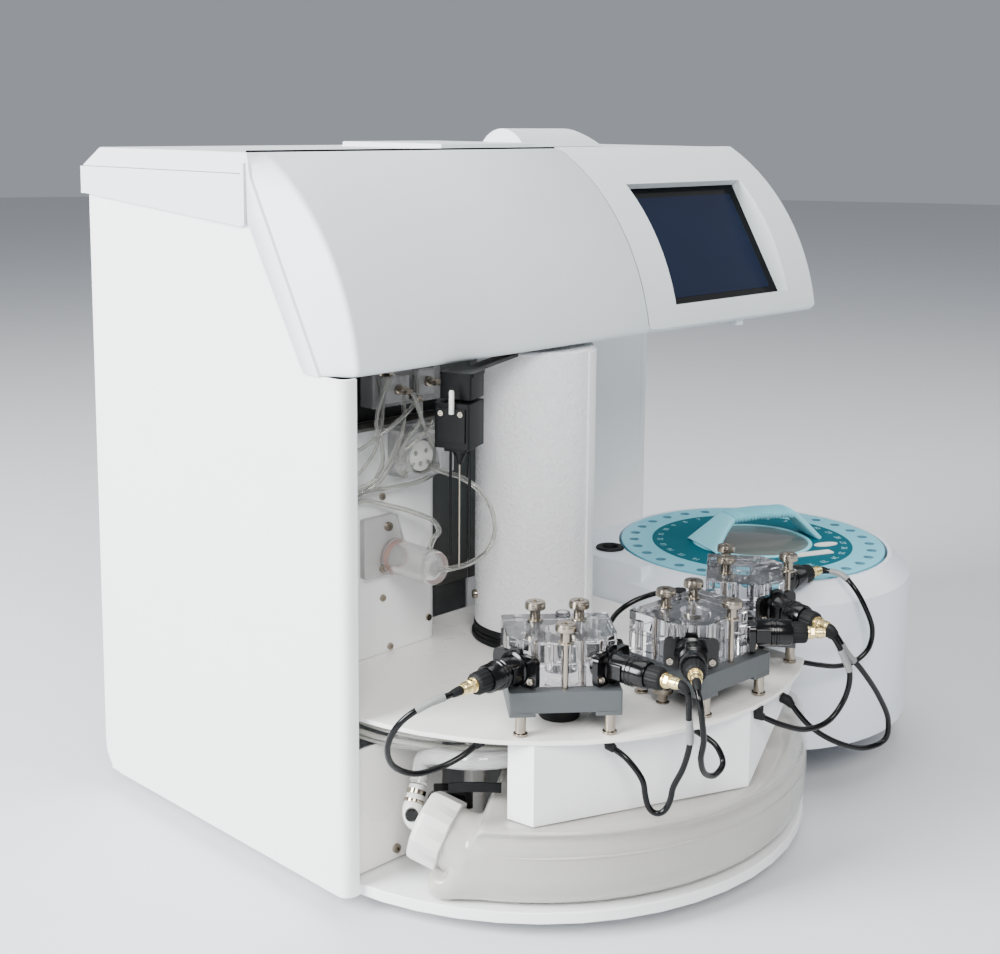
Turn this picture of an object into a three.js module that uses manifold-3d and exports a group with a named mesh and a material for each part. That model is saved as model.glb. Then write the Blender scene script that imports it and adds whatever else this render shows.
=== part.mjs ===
// Bench-top multiparameter bioanalyzer: a white cabinet with a lifting hood, a tilted touch screen,
// a round deck with three clear measuring modules, a swinging sipper tower, an arc-shaped waste
// tank below the deck and a sample turntable at the right.
// Millimetres. While it is drawn, x runs right from the left side panel, y runs back from its
// front edge and z runs up from the table; the last lines move the origin to the middle of the
// footprint, on the table.
import * as THREE from 'three';
import { mergeVertices } from 'three/addons/utils/BufferGeometryUtils.js';
import Module from 'manifold-3d';

const wasm = await Module();
wasm.setup();

// Driving sizes, shared by several pieces
const seat = 0.3;            // clearance where one piece rests on another
const cut = 2;               // overrun of every cutting tool
const sheet = 2.5;           // folded steel sheet of the cabinet
const skin = 3;              // moulded plastic wall
const ringSides = 48;        // facets of the large round pieces
const knobSides = 12;        // facets of the small round pieces
const roundSteps = 4;        // facets of a quarter round
const half = Math.PI / 2;

const cabinet = {
  width: 497, depth: 292, floor: 14, recess: 157, shoulder: 357, returnWidth: 12, returnRound: 8,
};
const crown = { lift: 124, rise: 14, overhang: 3, lap: 3, ledge: 16 };
crown.seam = cabinet.shoulder + crown.lift;            // where the top cover meets the trim band
crown.top = crown.seam + crown.rise;
const slope = { foot: 36.5, head: 95.6, headDrop: 31.4, backDrop: 17, corner: 20 };
slope.headHeight = crown.seam - slope.headDrop;
slope.backHeight = crown.seam - slope.backDrop;
const turn = { x: 216, y: 39 };                        // axis of the deck, the column and the tank
const plate = { inset: 11, bottom: 12, thick: 8 };
plate.radius = turn.x - plate.inset;
const deck = { short: 3, thick: 3, top: 133, back: 118, rightEdge: 317, tableGap: 2 };
deck.radius = plate.radius - deck.short;
const table = { x: 447, y: 3, top: 165.5, radius: 130, bevel: 115, bevelLow: 151, bottom: 36 };
const plateTop = plate.bottom + plate.thick;
const deckUnder = deck.top - deck.thick;
const wallTop = cabinet.shoulder - seat;
const panelGap = sheet + seat;                         // from a side panel's outer face to what fits inside
const deg = (angle) => THREE.MathUtils.degToRad(angle);

// Shape helpers
function toSolid(geometry) {
  const plain = new THREE.BufferGeometry();
  plain.setAttribute('position', geometry.getAttribute('position').clone());
  if (geometry.index) plain.setIndex(geometry.index.clone());
  const welded = mergeVertices(plain);
  const corners = Array.from(welded.index.array);
  const kept = [];
  for (let i = 0; i < corners.length; i += 3) {
    const [a, b, c] = corners.slice(i, i + 3);
    if (a !== b && b !== c && c !== a) kept.push(a, b, c);
  }
  const vertProperties = new Float32Array(welded.getAttribute('position').array);
  const build = (triVerts) => new wasm.Manifold(new wasm.Mesh({ numProp: 3, vertProperties, triVerts }));
  const solid = build(new Uint32Array(kept));
  if (solid.volume() > 0) return solid;
  const flipped = [];
  for (let i = 0; i < kept.length; i += 3) flipped.push(kept[i], kept[i + 2], kept[i + 1]);
  return build(new Uint32Array(flipped));
}

function toGeometry(solid) {
  const mesh = solid.getMesh();
  const geometry = new THREE.BufferGeometry();
  const points = new Float32Array(mesh.numVert * 3);
  for (let i = 0; i < mesh.numVert; i += 1) {
    for (let k = 0; k < 3; k += 1) points[i * 3 + k] = mesh.vertProperties[i * mesh.numProp + k];
  }
  geometry.setAttribute('position', new THREE.BufferAttribute(points, 3));
  geometry.setIndex(new THREE.BufferAttribute(new Uint32Array(mesh.triVerts), 1));
  geometry.computeVertexNormals();
  return geometry;
}

function block(x0, x1, y0, y1, z0, z1) {
  const box = new THREE.BoxGeometry(x1 - x0, y1 - y0, z1 - z0);
  box.translate((x0 + x1) / 2, (y0 + y1) / 2, (z0 + z1) / 2);
  return toSolid(box);
}

// A block given by its middle in two directions
function blockAround(x, z, wide, high, y0, y1) {
  return block(x - wide / 2, x + wide / 2, y0, y1, z - high / 2, z + high / 2);
}

function outline(points) {
  return new THREE.Shape(points.map(([a, b]) => new THREE.Vector2(a, b)));
}

// An outline in x and y, raised from z0 to z1
function prism(points, z0, z1) {
  const body = new THREE.ExtrudeGeometry(outline(points), { depth: z1 - z0, bevelEnabled: false });
  body.translate(0, 0, z0);
  return toSolid(body);
}

// An outline in y and z, carried from x0 to x1
function sideSlab(points, x0, x1) {
  const body = new THREE.ExtrudeGeometry(outline(points), { depth: x1 - x0, bevelEnabled: false });
  body.rotateX(half);
  body.rotateZ(half);
  body.translate(x0, 0, 0);
  return toSolid(body);
}

// An outline in x and z, carried from y0 to y1
function frontSlab(points, y0, y1) {
  const body = new THREE.ExtrudeGeometry(outline(points), { depth: y1 - y0, bevelEnabled: false });
  body.rotateX(half);
  body.translate(0, y1, 0);
  return toSolid(body);
}

// A round bar standing on z0, the same bar laid along x or y, and one between two points
function bar(radius, z0, z1, sides = knobSides) {
  const body = new THREE.CylinderGeometry(radius, radius, z1 - z0, sides);
  body.rotateX(half);
  body.translate(0, 0, (z0 + z1) / 2);
  return toSolid(body);
}
function barX(radius, x0, x1, y, z, sides) {
  return bar(radius, x0, x1, sides).rotate([0, 90, 0]).translate([0, y, z]);
}
function barY(radius, y0, y1, x, z, sides) {
  return bar(radius, y0, y1, sides).rotate([-90, 0, 0]).translate([x, 0, z]);
}
function barBetween(from, to, radius, sides = knobSides) {
  const along = to.clone().sub(from);
  const body = new THREE.CylinderGeometry(radius, radius, along.length(), sides);
  const up = new THREE.Vector3(0, 1, 0);
  body.applyQuaternion(new THREE.Quaternion().setFromUnitVectors(up, along.normalize()));
  body.translate(...from.clone().add(to).multiplyScalar(1 / 2));
  return toSolid(body);
}

// A profile of radius and height turned about z
function turned(profile, sides = ringSides) {
  const body = new THREE.LatheGeometry(profile.map(([r, z]) => new THREE.Vector2(r, z)), sides);
  body.rotateX(half);
  return toSolid(body);
}

function ring(outer, inner, z0, z1, sides = ringSides) {
  return turned([[inner, z0], [outer, z0], [outer, z1], [inner, z1], [inner, z0]], sides);
}

function join(...solids) {
  return solids.reduce((sum, next) => sum.add(next));
}

function trim(base, ...tools) {
  return tools.reduce((left, tool) => left.subtract(tool), base);
}

// Points on an arc, with the angles in degrees from the first axis
function arc(cx, cy, radius, from, to, steps) {
  return Array.from({ length: steps + 1 }, (_, i) => {
    const angle = deg(from + ((to - from) * i) / steps);
    return [cx + radius * Math.cos(angle), cy + radius * Math.sin(angle)];
  });
}

// A wall of even thickness on the left of a chain of points in plan
function foldedWall(points, thick, z0, z1) {
  const inner = points.map(([x, y], i) => {
    const [px, py] = points[Math.max(i - 1, 0)];
    const [nx, ny] = points[Math.min(i + 1, points.length - 1)];
    const before = new THREE.Vector2(x - px, y - py).normalize();
    const after = new THREE.Vector2(nx - x, ny - y).normalize();
    const along = before.clone().add(after).normalize();
    const isEnd = i === 0 || i === points.length - 1;
    const side = isEnd ? thick : thick / along.dot(before);
    return [x - along.y * side, y + along.x * side];
  });
  return prism(points.concat(inner.reverse()), z0, z1);
}

// A round tube through a chain of points
function tube(points, radius, sides, radiiPerStep) {
  const curve = new THREE.CatmullRomCurve3(points.map((p) => new THREE.Vector3(...p)), false, 'centripetal');
  const steps = Math.ceil(curve.getLength() / (radius * radiiPerStep));
  const section = outline(arc(0, 0, radius, 0, 360, sides).slice(0, -1));
  return toSolid(new THREE.ExtrudeGeometry(section, { steps, extrudePath: curve, bevelEnabled: false }));
}

// From the round deck's own frame, x along the facing angle, to the drawing's frame
function aroundDeck(solid, angle) {
  return solid.rotate([0, 0, angle]).translate([turn.x, turn.y, 0]);
}
function deckSpot(radius, angle) {
  return [turn.x + radius * Math.cos(deg(angle)), turn.y + radius * Math.sin(deg(angle))];
}

function finish(color, roughness, metalness = 0, opacity = 1) {
  return new THREE.MeshStandardMaterial({ color, roughness, metalness, opacity, transparent: opacity < 1 });
}
const white = finish('#eef0f2', 0.4);
const coolWhite = finish('#dfe4e8', 0.38);
const greySheet = finish('#4a4d50', 0.5);
const rubber = finish('#151617', 0.7);
const blackPlastic = finish('#17181a', 0.35);
const steel = finish('#b7b4ae', 0.3, 1);
const clear = finish('#dfe3ea', 0.08, 0, 0.45);
const milky = finish('#d3d3cc', 0.35, 0, 0.8);
const nylon = finish('#e8e6e0', 0.45);
const moduleGrey = finish('#74797b', 0.5);
const rotorBlue = finish('#a3d2e0', 0.35);
const gripBlue = finish('#8fd3dd', 0.35);
const glass = finish('#232d40', 0.1);
const paper = finish('#f4f3ee', 0.9);
const cableBlack = finish('#101112', 0.45);

const assembly = new THREE.Group();
const cords = new THREE.Group();
function node(name, solid, material, parent = assembly) {
  const mesh = new THREE.Mesh(toGeometry(solid), material);
  mesh.name = name;
  parent.add(mesh);
  return mesh;
}

// Base plate: the round front and the square rear under the cabinet, on four rubber feet
{
  const disc = bar(plate.radius, plate.bottom, plateTop, ringSides).translate([turn.x, turn.y, 0]);
  const rear = block(panelGap, cabinet.width - panelGap, cabinet.recess, cabinet.depth - panelGap,
    plate.bottom, plateTop);
  const left = block(panelGap, turn.x, turn.y, cabinet.recess + cut, plate.bottom, plateTop);
  const beyond = block(turn.x, cabinet.width, cabinet.recess, turn.y + plate.radius + cut,
    plate.bottom - cut, plateTop + cut);
  const notch = block(cabinet.width - cabinet.returnWidth - seat, cabinet.width, cabinet.recess - cut,
    cabinet.recess + cabinet.returnWidth, plate.bottom - cut, plateTop + cut);
  node('base_plate', join(disc.subtract(beyond), rear, left).subtract(notch), white);

  const foot = { radius: 12, chamfer: 2, height: plate.bottom - seat, reach: 163, inset: 32 };
  const leftAngle = -138;
  const rightAngle = -46;
  const footSpots = {
    foot_front_left: deckSpot(foot.reach, leftAngle),
    foot_front_right: deckSpot(foot.reach, rightAngle),
    foot_rear_left: [foot.inset, cabinet.depth - foot.inset],
    foot_rear_right: [cabinet.width - foot.inset, cabinet.depth - foot.inset],
  };
  const profile = [[0, 0], [foot.radius - foot.chamfer, 0], [foot.radius, foot.chamfer],
    [foot.radius, foot.height], [0, foot.height]];
  for (const [name, [x, y]] of Object.entries(footSpots)) {
    node(name, turned(profile, knobSides), rubber).position.set(x, y, 0);
  }
}

// Cabinet side panels: flat sheets with a rounded return at the front edge
{
  const round = cabinet.returnRound;
  const rearCorner = arc(cabinet.depth - slope.corner, cabinet.floor + slope.corner, slope.corner, -90, 0, roundSteps);
  const frontReturn = (y, top) => prism([
    ...arc(round, y + round, round, 180, 270, roundSteps),
    [cabinet.returnWidth, y],
    [cabinet.returnWidth, y + sheet],
    ...arc(round, y + round, round - sheet, 270, 180, roundSteps),
  ], cabinet.floor, top);
  const panel = (front, frontTop, head) => sideSlab([
    [front + round, cabinet.floor],
    ...rearCorner,
    [cabinet.depth, slope.backHeight],
    [head, slope.headHeight],
    ...frontTop,
  ], 0, sheet);
  const leftTop = [[slope.foot, cabinet.shoulder], [round, cabinet.shoulder]];
  node('left_side_panel', panel(0, leftTop, slope.head).add(frontReturn(0, cabinet.shoulder)), white);
  const head = slope.head + skin;
  const rightTop = [[head, cabinet.shoulder + skin], [cabinet.recess + round, cabinet.shoulder + skin]];
  const right = panel(cabinet.recess, rightTop, head).add(frontReturn(cabinet.recess, wallTop));
  node('right_side_panel', right.mirror([1, 0, 0]).translate([cabinet.width, 0, 0]), white);
}

// Rear panel with louvres, and the power entry with its rocker switch
{
  const vent = { count: 9, left: 270, top: 380, bottom: 300, pitch: 14, slot: 4 };
  const inlet = { x: 90, z: 70, width: 28, height: 20, depth: 22, wall: 3 };
  const rocker = { x: 140, width: 15, height: 22, wall: 2, depth: 16, proud: 5, play: 0.6, trim: 4, recess: 2 };
  const flange = { border: 7, thick: 3 };
  const y0 = cabinet.depth - sheet - seat;
  const face = y0 + sheet + seat;
  const slab = block(panelGap, cabinet.width - panelGap, y0, y0 + sheet, plateTop + seat, slope.backHeight - seat);
  const slots = Array.from({ length: vent.count }, (_, i) => {
    const x = vent.left + i * vent.pitch;
    return block(x, x + vent.slot, y0 - cut, y0 + sheet + cut, vent.bottom, vent.top);
  });
  const frameWide = rocker.width + rocker.wall * 2;
  const frameHigh = rocker.height + rocker.wall * 2;
  const inletHole = blockAround(inlet.x, inlet.z, inlet.width + seat * 2, inlet.height + seat * 2,
    y0 - cut, y0 + sheet + cut);
  const rockerHole = blockAround(rocker.x, inlet.z, frameWide + seat * 2, frameHigh + seat * 2,
    y0 - cut, y0 + sheet + cut);
  node('rear_panel', trim(slab, ...slots, inletHole, rockerHole), white);

  const pins = { radius: 1.5, length: 14, spread: 7, rise: 4, sides: 8 };
  const floor = y0 - inlet.depth;
  const shell = blockAround(inlet.x, inlet.z, inlet.width, inlet.height, floor, face + flange.thick);
  const mouth = blockAround(inlet.x, inlet.z, inlet.width - inlet.wall * 2, inlet.height - inlet.wall * 2,
    floor + inlet.wall, face + flange.thick + cut);
  const pinSpots = [[-pins.spread, -pins.rise / 2], [pins.spread, -pins.rise / 2], [0, pins.rise / 2]];
  const blades = pinSpots.map(([dx, dz]) => barY(pins.radius, floor + inlet.wall - seat, floor + pins.length,
    inlet.x + dx, inlet.z + dz, pins.sides));
  const plateLeft = inlet.x - inlet.width / 2 - flange.border;
  const plateRight = rocker.x + frameWide / 2 + rocker.wall;
  const rim = block(plateLeft, plateRight, face, face + flange.thick,
    inlet.z - frameHigh / 2 - rocker.wall, inlet.z + frameHigh / 2 + rocker.wall);
  const back = y0 - rocker.depth;
  const frame = blockAround(rocker.x, inlet.z, frameWide, frameHigh, back, face + flange.thick);
  const well = blockAround(rocker.x, inlet.z, rocker.width, rocker.height, back + rocker.wall,
    face + flange.thick + cut);
  node('power_entry', join(trim(join(shell, rim, frame), mouth, well), ...blades), blackPlastic);

  const pivot = back + rocker.depth / 2;
  const top = inlet.z + rocker.height / 2 - rocker.trim;
  const bottom = inlet.z - rocker.height / 2 + rocker.play;
  const paddle = sideSlab([[pivot, bottom + rocker.recess], [face + rocker.recess, bottom],
    [face + rocker.proud, top], [pivot, top]],
  rocker.x - rocker.width / 2 + rocker.play, rocker.x + rocker.width / 2 - rocker.play);
  node('power_rocker', paddle, blackPlastic);
}

// Walls and ceiling of the recess under the hood
const housing = { fromTurn: 82.8, beyond: 26, gap: 0.8 };  // the display stands out past the right side panel
housing.left = turn.x + housing.fromTurn;
housing.right = cabinet.width + housing.beyond;
const hood = { left: 0.5, right: housing.left - housing.gap, back: 93.8, lip: 16, knuckleShares: [0.282, 0.691],
  knuckleLength: 16 };
const lid = { front: 98.6, back: 290, rearLean: 6 };
const valve = { left: 14, front: 84, right: 160, bend: 10, thick: 2 };
const backPlate = { right: 262, bottom: 140, thick: 2 };
{
  const y0 = cabinet.recess;
  const right = cabinet.width - cabinet.returnWidth - seat;
  const canopy = { front: 18, thick: 2, hole: 60 };
  const z0 = cabinet.shoulder;
  const wall = block(backPlate.right + seat, right, y0, y0 + sheet, plateTop + seat, z0 + cut);
  const floor = block(hood.left + skin + seat, cabinet.width - panelGap, canopy.front, cabinet.depth - panelGap * 2,
    z0, z0 + canopy.thick);
  const opening = block(turn.x - canopy.hole, turn.x + canopy.hole, canopy.front + cut * 3, cabinet.recess - cut,
    z0 - cut, z0 + cut * 2);
  const corner = block(hood.right, cabinet.width, canopy.front - cut, lid.front, z0 - cut, z0 + cut * 2);
  node('recess_liner', join(trim(floor, opening, corner), wall), white);
  node('sipper_back_plate', block(valve.right + seat, backPlate.right, y0, y0 + backPlate.thick,
    backPlate.bottom, wallTop), greySheet);
  const bend = arc(valve.right - valve.bend, valve.front + valve.bend, valve.bend, -90, 0, roundSteps);
  const path = [[valve.left, valve.front], ...bend, [valve.right, y0 + backPlate.thick]];
  node('valve_panel', foldedWall(path, valve.thick, deck.top + seat, wallTop), white);
}

// Trim band and top cover
const printer = { gap: 2, width: 98, y: 158, sink: 13, radius: 28, wall: 2.5, mouth: 23 };
printer.left = hood.right + printer.gap;
printer.right = printer.left + printer.width;
printer.z = crown.top - printer.sink;
{
  const out = crown.overhang;
  const front = slope.head + skin;
  const rear = cabinet.depth + out + crown.lap;
  const wedge = [[front, slope.headHeight - crown.lap], [cabinet.depth, slope.backHeight - crown.lap],
    [rear, slope.backHeight - crown.lap], [rear, crown.seam], [front, crown.seam]];
  const leftWall = sideSlab(wedge, -out, -seat);
  const rightWall = sideSlab(wedge, cabinet.width + seat, cabinet.width + out);
  const rearWall = block(-out, cabinet.width + out, cabinet.depth + seat, rear,
    slope.backHeight - crown.lap, crown.seam);
  const shelf = block(-out, cabinet.width + out, front, rear, crown.seam - sheet, crown.seam);
  const middle = block(crown.ledge, cabinet.width - crown.ledge, front - cut, cabinet.depth - crown.ledge,
    crown.seam - sheet - cut, crown.seam + cut);
  node('trim_band', join(leftWall, rightWall, rearWall, shelf.subtract(middle)), coolWhite);

  const z0 = crown.seam + seat;
  const outer = sideSlab([[lid.front, z0], [lid.back + lid.rearLean, z0], [lid.back, crown.top],
    [lid.front, crown.top]], -out, cabinet.width + out);
  const inner = sideSlab([[lid.front - cut, z0 - cut], [lid.back + lid.rearLean - skin, z0 - cut],
    [lid.back - skin, crown.top - skin], [lid.front - cut, crown.top - skin]],
  skin - out, cabinet.width + out - skin);
  const well = block(printer.left + printer.wall, printer.right - printer.wall, printer.y - printer.mouth,
    printer.y + printer.mouth, z0, crown.top + cut);
  const lip = { width: 103, before: 38, behind: 78, thick: 4, gap: 1 };
  const lipRight = printer.left - lip.gap;
  const raised = block(lipRight - lip.width, lipRight, printer.y - lip.before, printer.y + lip.behind,
    crown.top - skin / 2, crown.top + lip.thick);
  node('top_cover', join(trim(outer, inner, well), raised), coolWhite);
}

// Printer at the back right: a tray in the top cover, the paper roll and its hinged cover
{
  const tray = { wall: 2, drop: 42, gap: 0.6, hook: 3 };
  const x0 = printer.left + printer.wall + tray.gap;
  const x1 = printer.right - printer.wall - tray.gap;
  const y0 = printer.y - printer.mouth + tray.gap;
  const y1 = printer.y + printer.mouth - tray.gap;
  const z1 = crown.top - seat;
  const z0 = z1 - tray.drop;
  const axle = { radius: 3, play: 0.4, drop: 8 };
  const axleZ = z1 - axle.drop;
  const box = block(x0, x1, y0, y1, z0, z1);
  const room = block(x0 + tray.wall, x1 - tray.wall, y0 + tray.wall, y1 - tray.wall, z0 + tray.wall, z1 + cut);
  const hookTop = crown.top - skin - seat;
  const hook = block(x0 + tray.wall, x1 - tray.wall, y0 - tray.hook, y0, hookTop - tray.wall, hookTop);
  const bore = barX(axle.radius + axle.play, x0 - cut, x1 + cut, printer.y, axleZ);
  node('printer_tray', join(trim(box, room), hook).subtract(bore), blackPlastic);

  const roll = { radius: 20, left: 5, width: 65, sides: 24 };
  const reel = barX(roll.radius, x0 + roll.left, x0 + roll.left + roll.width, printer.y, axleZ, roll.sides);
  const shaft = barX(axle.radius, x0 + seat, x1 - seat, printer.y, axleZ);
  node('paper_roll', join(reel, shaft), paper);

  const nose = { length: 22, drop: 15 };
  const humpSides = 36;
  const hump = (inset) => {
    const radius = printer.radius - inset;
    const left = printer.left + inset;
    const right = printer.right - inset;
    const top = printer.z + radius;
    const beyond = printer.radius + cut;
    const slant = frontSlab([[right - nose.length, top], [right, top - nose.drop], [right + cut, top - nose.drop],
      [right + cut, top + cut], [right - nose.length, top + cut]], printer.y - beyond, printer.y + beyond);
    const above = block(left - cut, right + cut, printer.y - beyond, printer.y + beyond, crown.top + seat, top + cut);
    return barX(radius, left, right, printer.y, printer.z, humpSides).subtract(slant).intersect(above);
  };
  const mouth = block(x0, x1, y0, y1, crown.top, crown.top + printer.wall);
  node('printer_cover', hump(0).subtract(hump(printer.wall).add(mouth)), coolWhite);
}

// Hood and display housing share one curved front
const face = { radius: 183, centreY: 179.3, drop: 160.8, to: 118.6, steps: 14 };
face.centreZ = crown.top - face.drop;
face.from = 180 - THREE.MathUtils.radToDeg(Math.asin((cabinet.shoulder + seat - face.centreZ) / face.radius));
const pin = { y: 95.9, drop: 2.5, radius: 1.1, bore: 1.4, knuckle: 2.3, sides: 12 };
pin.z = crown.top - pin.drop;
const housingBack = lid.front - seat;
function faceArc(inset) {
  return arc(face.centreY, face.centreZ, face.radius - inset, face.from, face.to, face.steps);
}
// The profile from the bottom front corner, up the curve, to the crown at the given depth
function hoodProfile(inset, back) {
  const curve = faceArc(inset);
  return [[back, cabinet.shoulder + seat + inset], [curve[0][0], cabinet.shoulder + seat + inset],
    ...curve.slice(1), [back, crown.top - inset]];
}
{
  const bottom = cabinet.shoulder + seat;
  const curve = hoodProfile(0, 0).slice(1, -1);
  const edgeFoot = [slope.foot - seat * 2, bottom];
  const edgeHead = [slope.head - seat - skin, slope.headHeight + seat];
  const crownUnder = [hood.back, crown.top - skin];
  const cheek = sideSlab([edgeFoot, ...curve, [hood.back, crown.top], crownUnder, edgeHead],
    hood.left, hood.left + skin);
  const outer = sideSlab(hoodProfile(0, hood.back), hood.left, hood.right);
  const hollow = sideSlab([[hood.back + cut, bottom + skin], ...hoodProfile(skin, 0).slice(1, -1),
    [hood.back + cut, crown.top - skin]], hood.left + skin, hood.right - skin);
  const behindLip = block(hood.left - cut, hood.right + cut, curve[0][0] + hood.lip, hood.back + cut,
    bottom - cut, bottom + skin + cut);
  const behindEdge = sideSlab([[edgeFoot[0], bottom - cut], edgeFoot, edgeHead, crownUnder,
    [hood.back + cut, crown.top - skin], [hood.back + cut, bottom - cut]], hood.left - cut, hood.left + skin);
  const knuckles = hood.knuckleShares.map((share) => share * hood.right).map((x) => join(
    barX(pin.knuckle, x, x + hood.knuckleLength, pin.y, pin.z, pin.sides),
    block(x, x + hood.knuckleLength, hood.back - cut, pin.y, crown.top - skin, pin.z),
  ));
  const bore = barX(pin.bore, hood.left, hood.right, pin.y, pin.z, pin.sides);
  node('hood', join(trim(outer, hollow, behindLip, behindEdge), cheek, ...knuckles).subtract(bore), coolWhite);

  const beam = { front: 100, back: 124, drop: 14, thick: 2 };
  const lug = { shares: [0.1, 0.487, 0.879], length: 12, thick: 2.2 };
  const left = crown.ledge + seat;
  const right = cabinet.width - crown.ledge - seat;
  const low = crown.seam - beam.drop;
  const rail = join(
    block(left, right, beam.front, beam.back, crown.seam - beam.thick, crown.seam),
    block(left, right, beam.front, beam.front + beam.thick, low, crown.seam),
  );
  const ears = lug.shares.map((share) => share * hood.right).map((x) => join(
    block(x, x + lug.length, pin.y - lug.thick / 2, pin.y + lug.thick / 2, low, pin.z),
    block(x, x + lug.length, pin.y - lug.thick / 2, beam.front + beam.thick, low, crown.seam),
  ));
  const rod = barX(pin.radius, hood.left + skin * 2, hood.right - skin * 2, pin.y, pin.z, pin.sides);
  node('hood_hinge', join(rail, ...ears, rod), rubber);
}

// Display housing with its recessed touch screen
{
  const screen = { fromLeft: 35.2, fromRight: 38, bottomTurn: 6.25, topTurn: 14.6, inset: 9, thick: 3, edge: 6,
    through: 27 };
  screen.left = housing.left + screen.fromLeft;
  screen.right = housing.right - screen.fromRight;
  const tab = { fromRight: 107, width: 9, depth: 7, drop: 4 };
  tab.x = housing.right - tab.fromRight;
  const bottom = cabinet.shoulder + seat + skin;
  const top = crown.top - skin;
  const innerCurve = hoodProfile(skin, 0).slice(1, -1);
  const outer = sideSlab(hoodProfile(0, housingBack), housing.left, housing.right);
  const room = sideSlab([[housingBack + cut, bottom], ...innerCurve, [housingBack + cut, top]],
    housing.left + skin, cabinet.width - cut);
  const end = sideSlab([[housingBack - skin, bottom], ...innerCurve, [housingBack - skin, top]],
    cabinet.width - cut * 2, housing.right - skin);
  const onFace = (angle) => new THREE.Vector2(
    face.centreY + face.radius * Math.cos(deg(angle)),
    face.centreZ + face.radius * Math.sin(deg(angle)),
  );
  const low = onFace(face.from - screen.bottomTurn);
  const high = onFace(face.to + screen.topTurn);
  const chord = high.clone().sub(low).normalize();
  // A slab parallel to the screen: its border beyond the window, and its depths behind the chord
  const tilted = (border, near, far, x0, x1) => {
    const corner = (point, sign, depth) => [
      point.x + chord.x * border * sign + chord.y * depth,
      point.y + chord.y * border * sign - chord.x * depth,
    ];
    const corners = [corner(low, -1, near), corner(low, -1, far), corner(high, 1, far), corner(high, 1, near)];
    return sideSlab(corners, x0, x1);
  };
  const window = tilted(0, -screen.through, screen.through, screen.left, screen.right);
  const within = sideSlab(hoodProfile(0, housingBack), housing.left, housing.right);
  const frame = tilted(skin, -screen.inset, screen.inset, screen.left - skin, screen.right + skin).intersect(within);
  const latch = block(tab.x, tab.x + tab.width, skin, skin + tab.depth, cabinet.shoulder - tab.drop, bottom);
  node('display_housing', join(trim(outer, room, end), frame).subtract(window).add(latch), coolWhite);
  const panel = tilted(screen.edge, screen.inset + seat, screen.inset + seat + screen.thick,
    screen.left - screen.edge, screen.right + screen.edge);
  node('touch_screen', panel, glass);
}

// Deck: a round plate cut off at the right and the back, on three posts from the base plate
const collar = { spigot: 38, lip: 46, lipThick: 4.2, seal: 44.6, sealThick: 7.7, sealInner: 36, reach: 14, sides: 36 };
{
  const post = { radius: 8, reach: 100, angles: [200, 270, 330] };
  const disc = bar(deck.radius, deckUnder, deck.top, ringSides).translate([turn.x, turn.y, 0]);
  const right = block(deck.rightEdge, cabinet.width, turn.y - deck.radius, turn.y + deck.radius,
    deckUnder - cut, deck.top + cut);
  const back = block(0, cabinet.width, deck.back, turn.y + deck.radius + cut, deckUnder - cut, deck.top + cut);
  const besideTable = bar(table.radius + deck.tableGap, deckUnder - cut, deck.top + cut, ringSides)
    .translate([table.x, table.y, 0]);
  const hole = aroundDeck(bar(collar.spigot + seat, deckUnder - cut, deck.top + cut, ringSides), 0);
  const posts = post.angles.map((angle) => {
    const [x, y] = deckSpot(post.reach, angle);
    return bar(post.radius, plateTop + seat, deckUnder + cut / 2).translate([x, y, 0]);
  });
  node('deck_plate', join(trim(disc, right, back, besideTable, hole), ...posts), white);
}

// Skirt: folded sheet below the deck's rim, its lower edge rising to the right
const skirt = { left: 67, leftBack: -80, turnX: 70, turnY: -100, nose: -160.5, right: 309, rightY: -137,
  thick: 1.5, bottom: 76, tail: 127 };
const skirtPath = [[skirt.left, skirt.leftBack], [skirt.turnX, skirt.turnY], [turn.x, skirt.nose],
  [skirt.right, skirt.rightY]];
{
  const wall = foldedWall(skirtPath, skirt.thick, skirt.bottom, deckUnder - seat);
  const rising = frontSlab([[turn.x, skirt.bottom - cut], [turn.x, skirt.bottom], [skirt.right, skirt.tail],
    [skirt.right + cut, skirt.tail], [skirt.right + cut, skirt.bottom - cut]], skirt.nose - cut, 0);
  node('deck_skirt', wall.subtract(rising), white);
}

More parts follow.
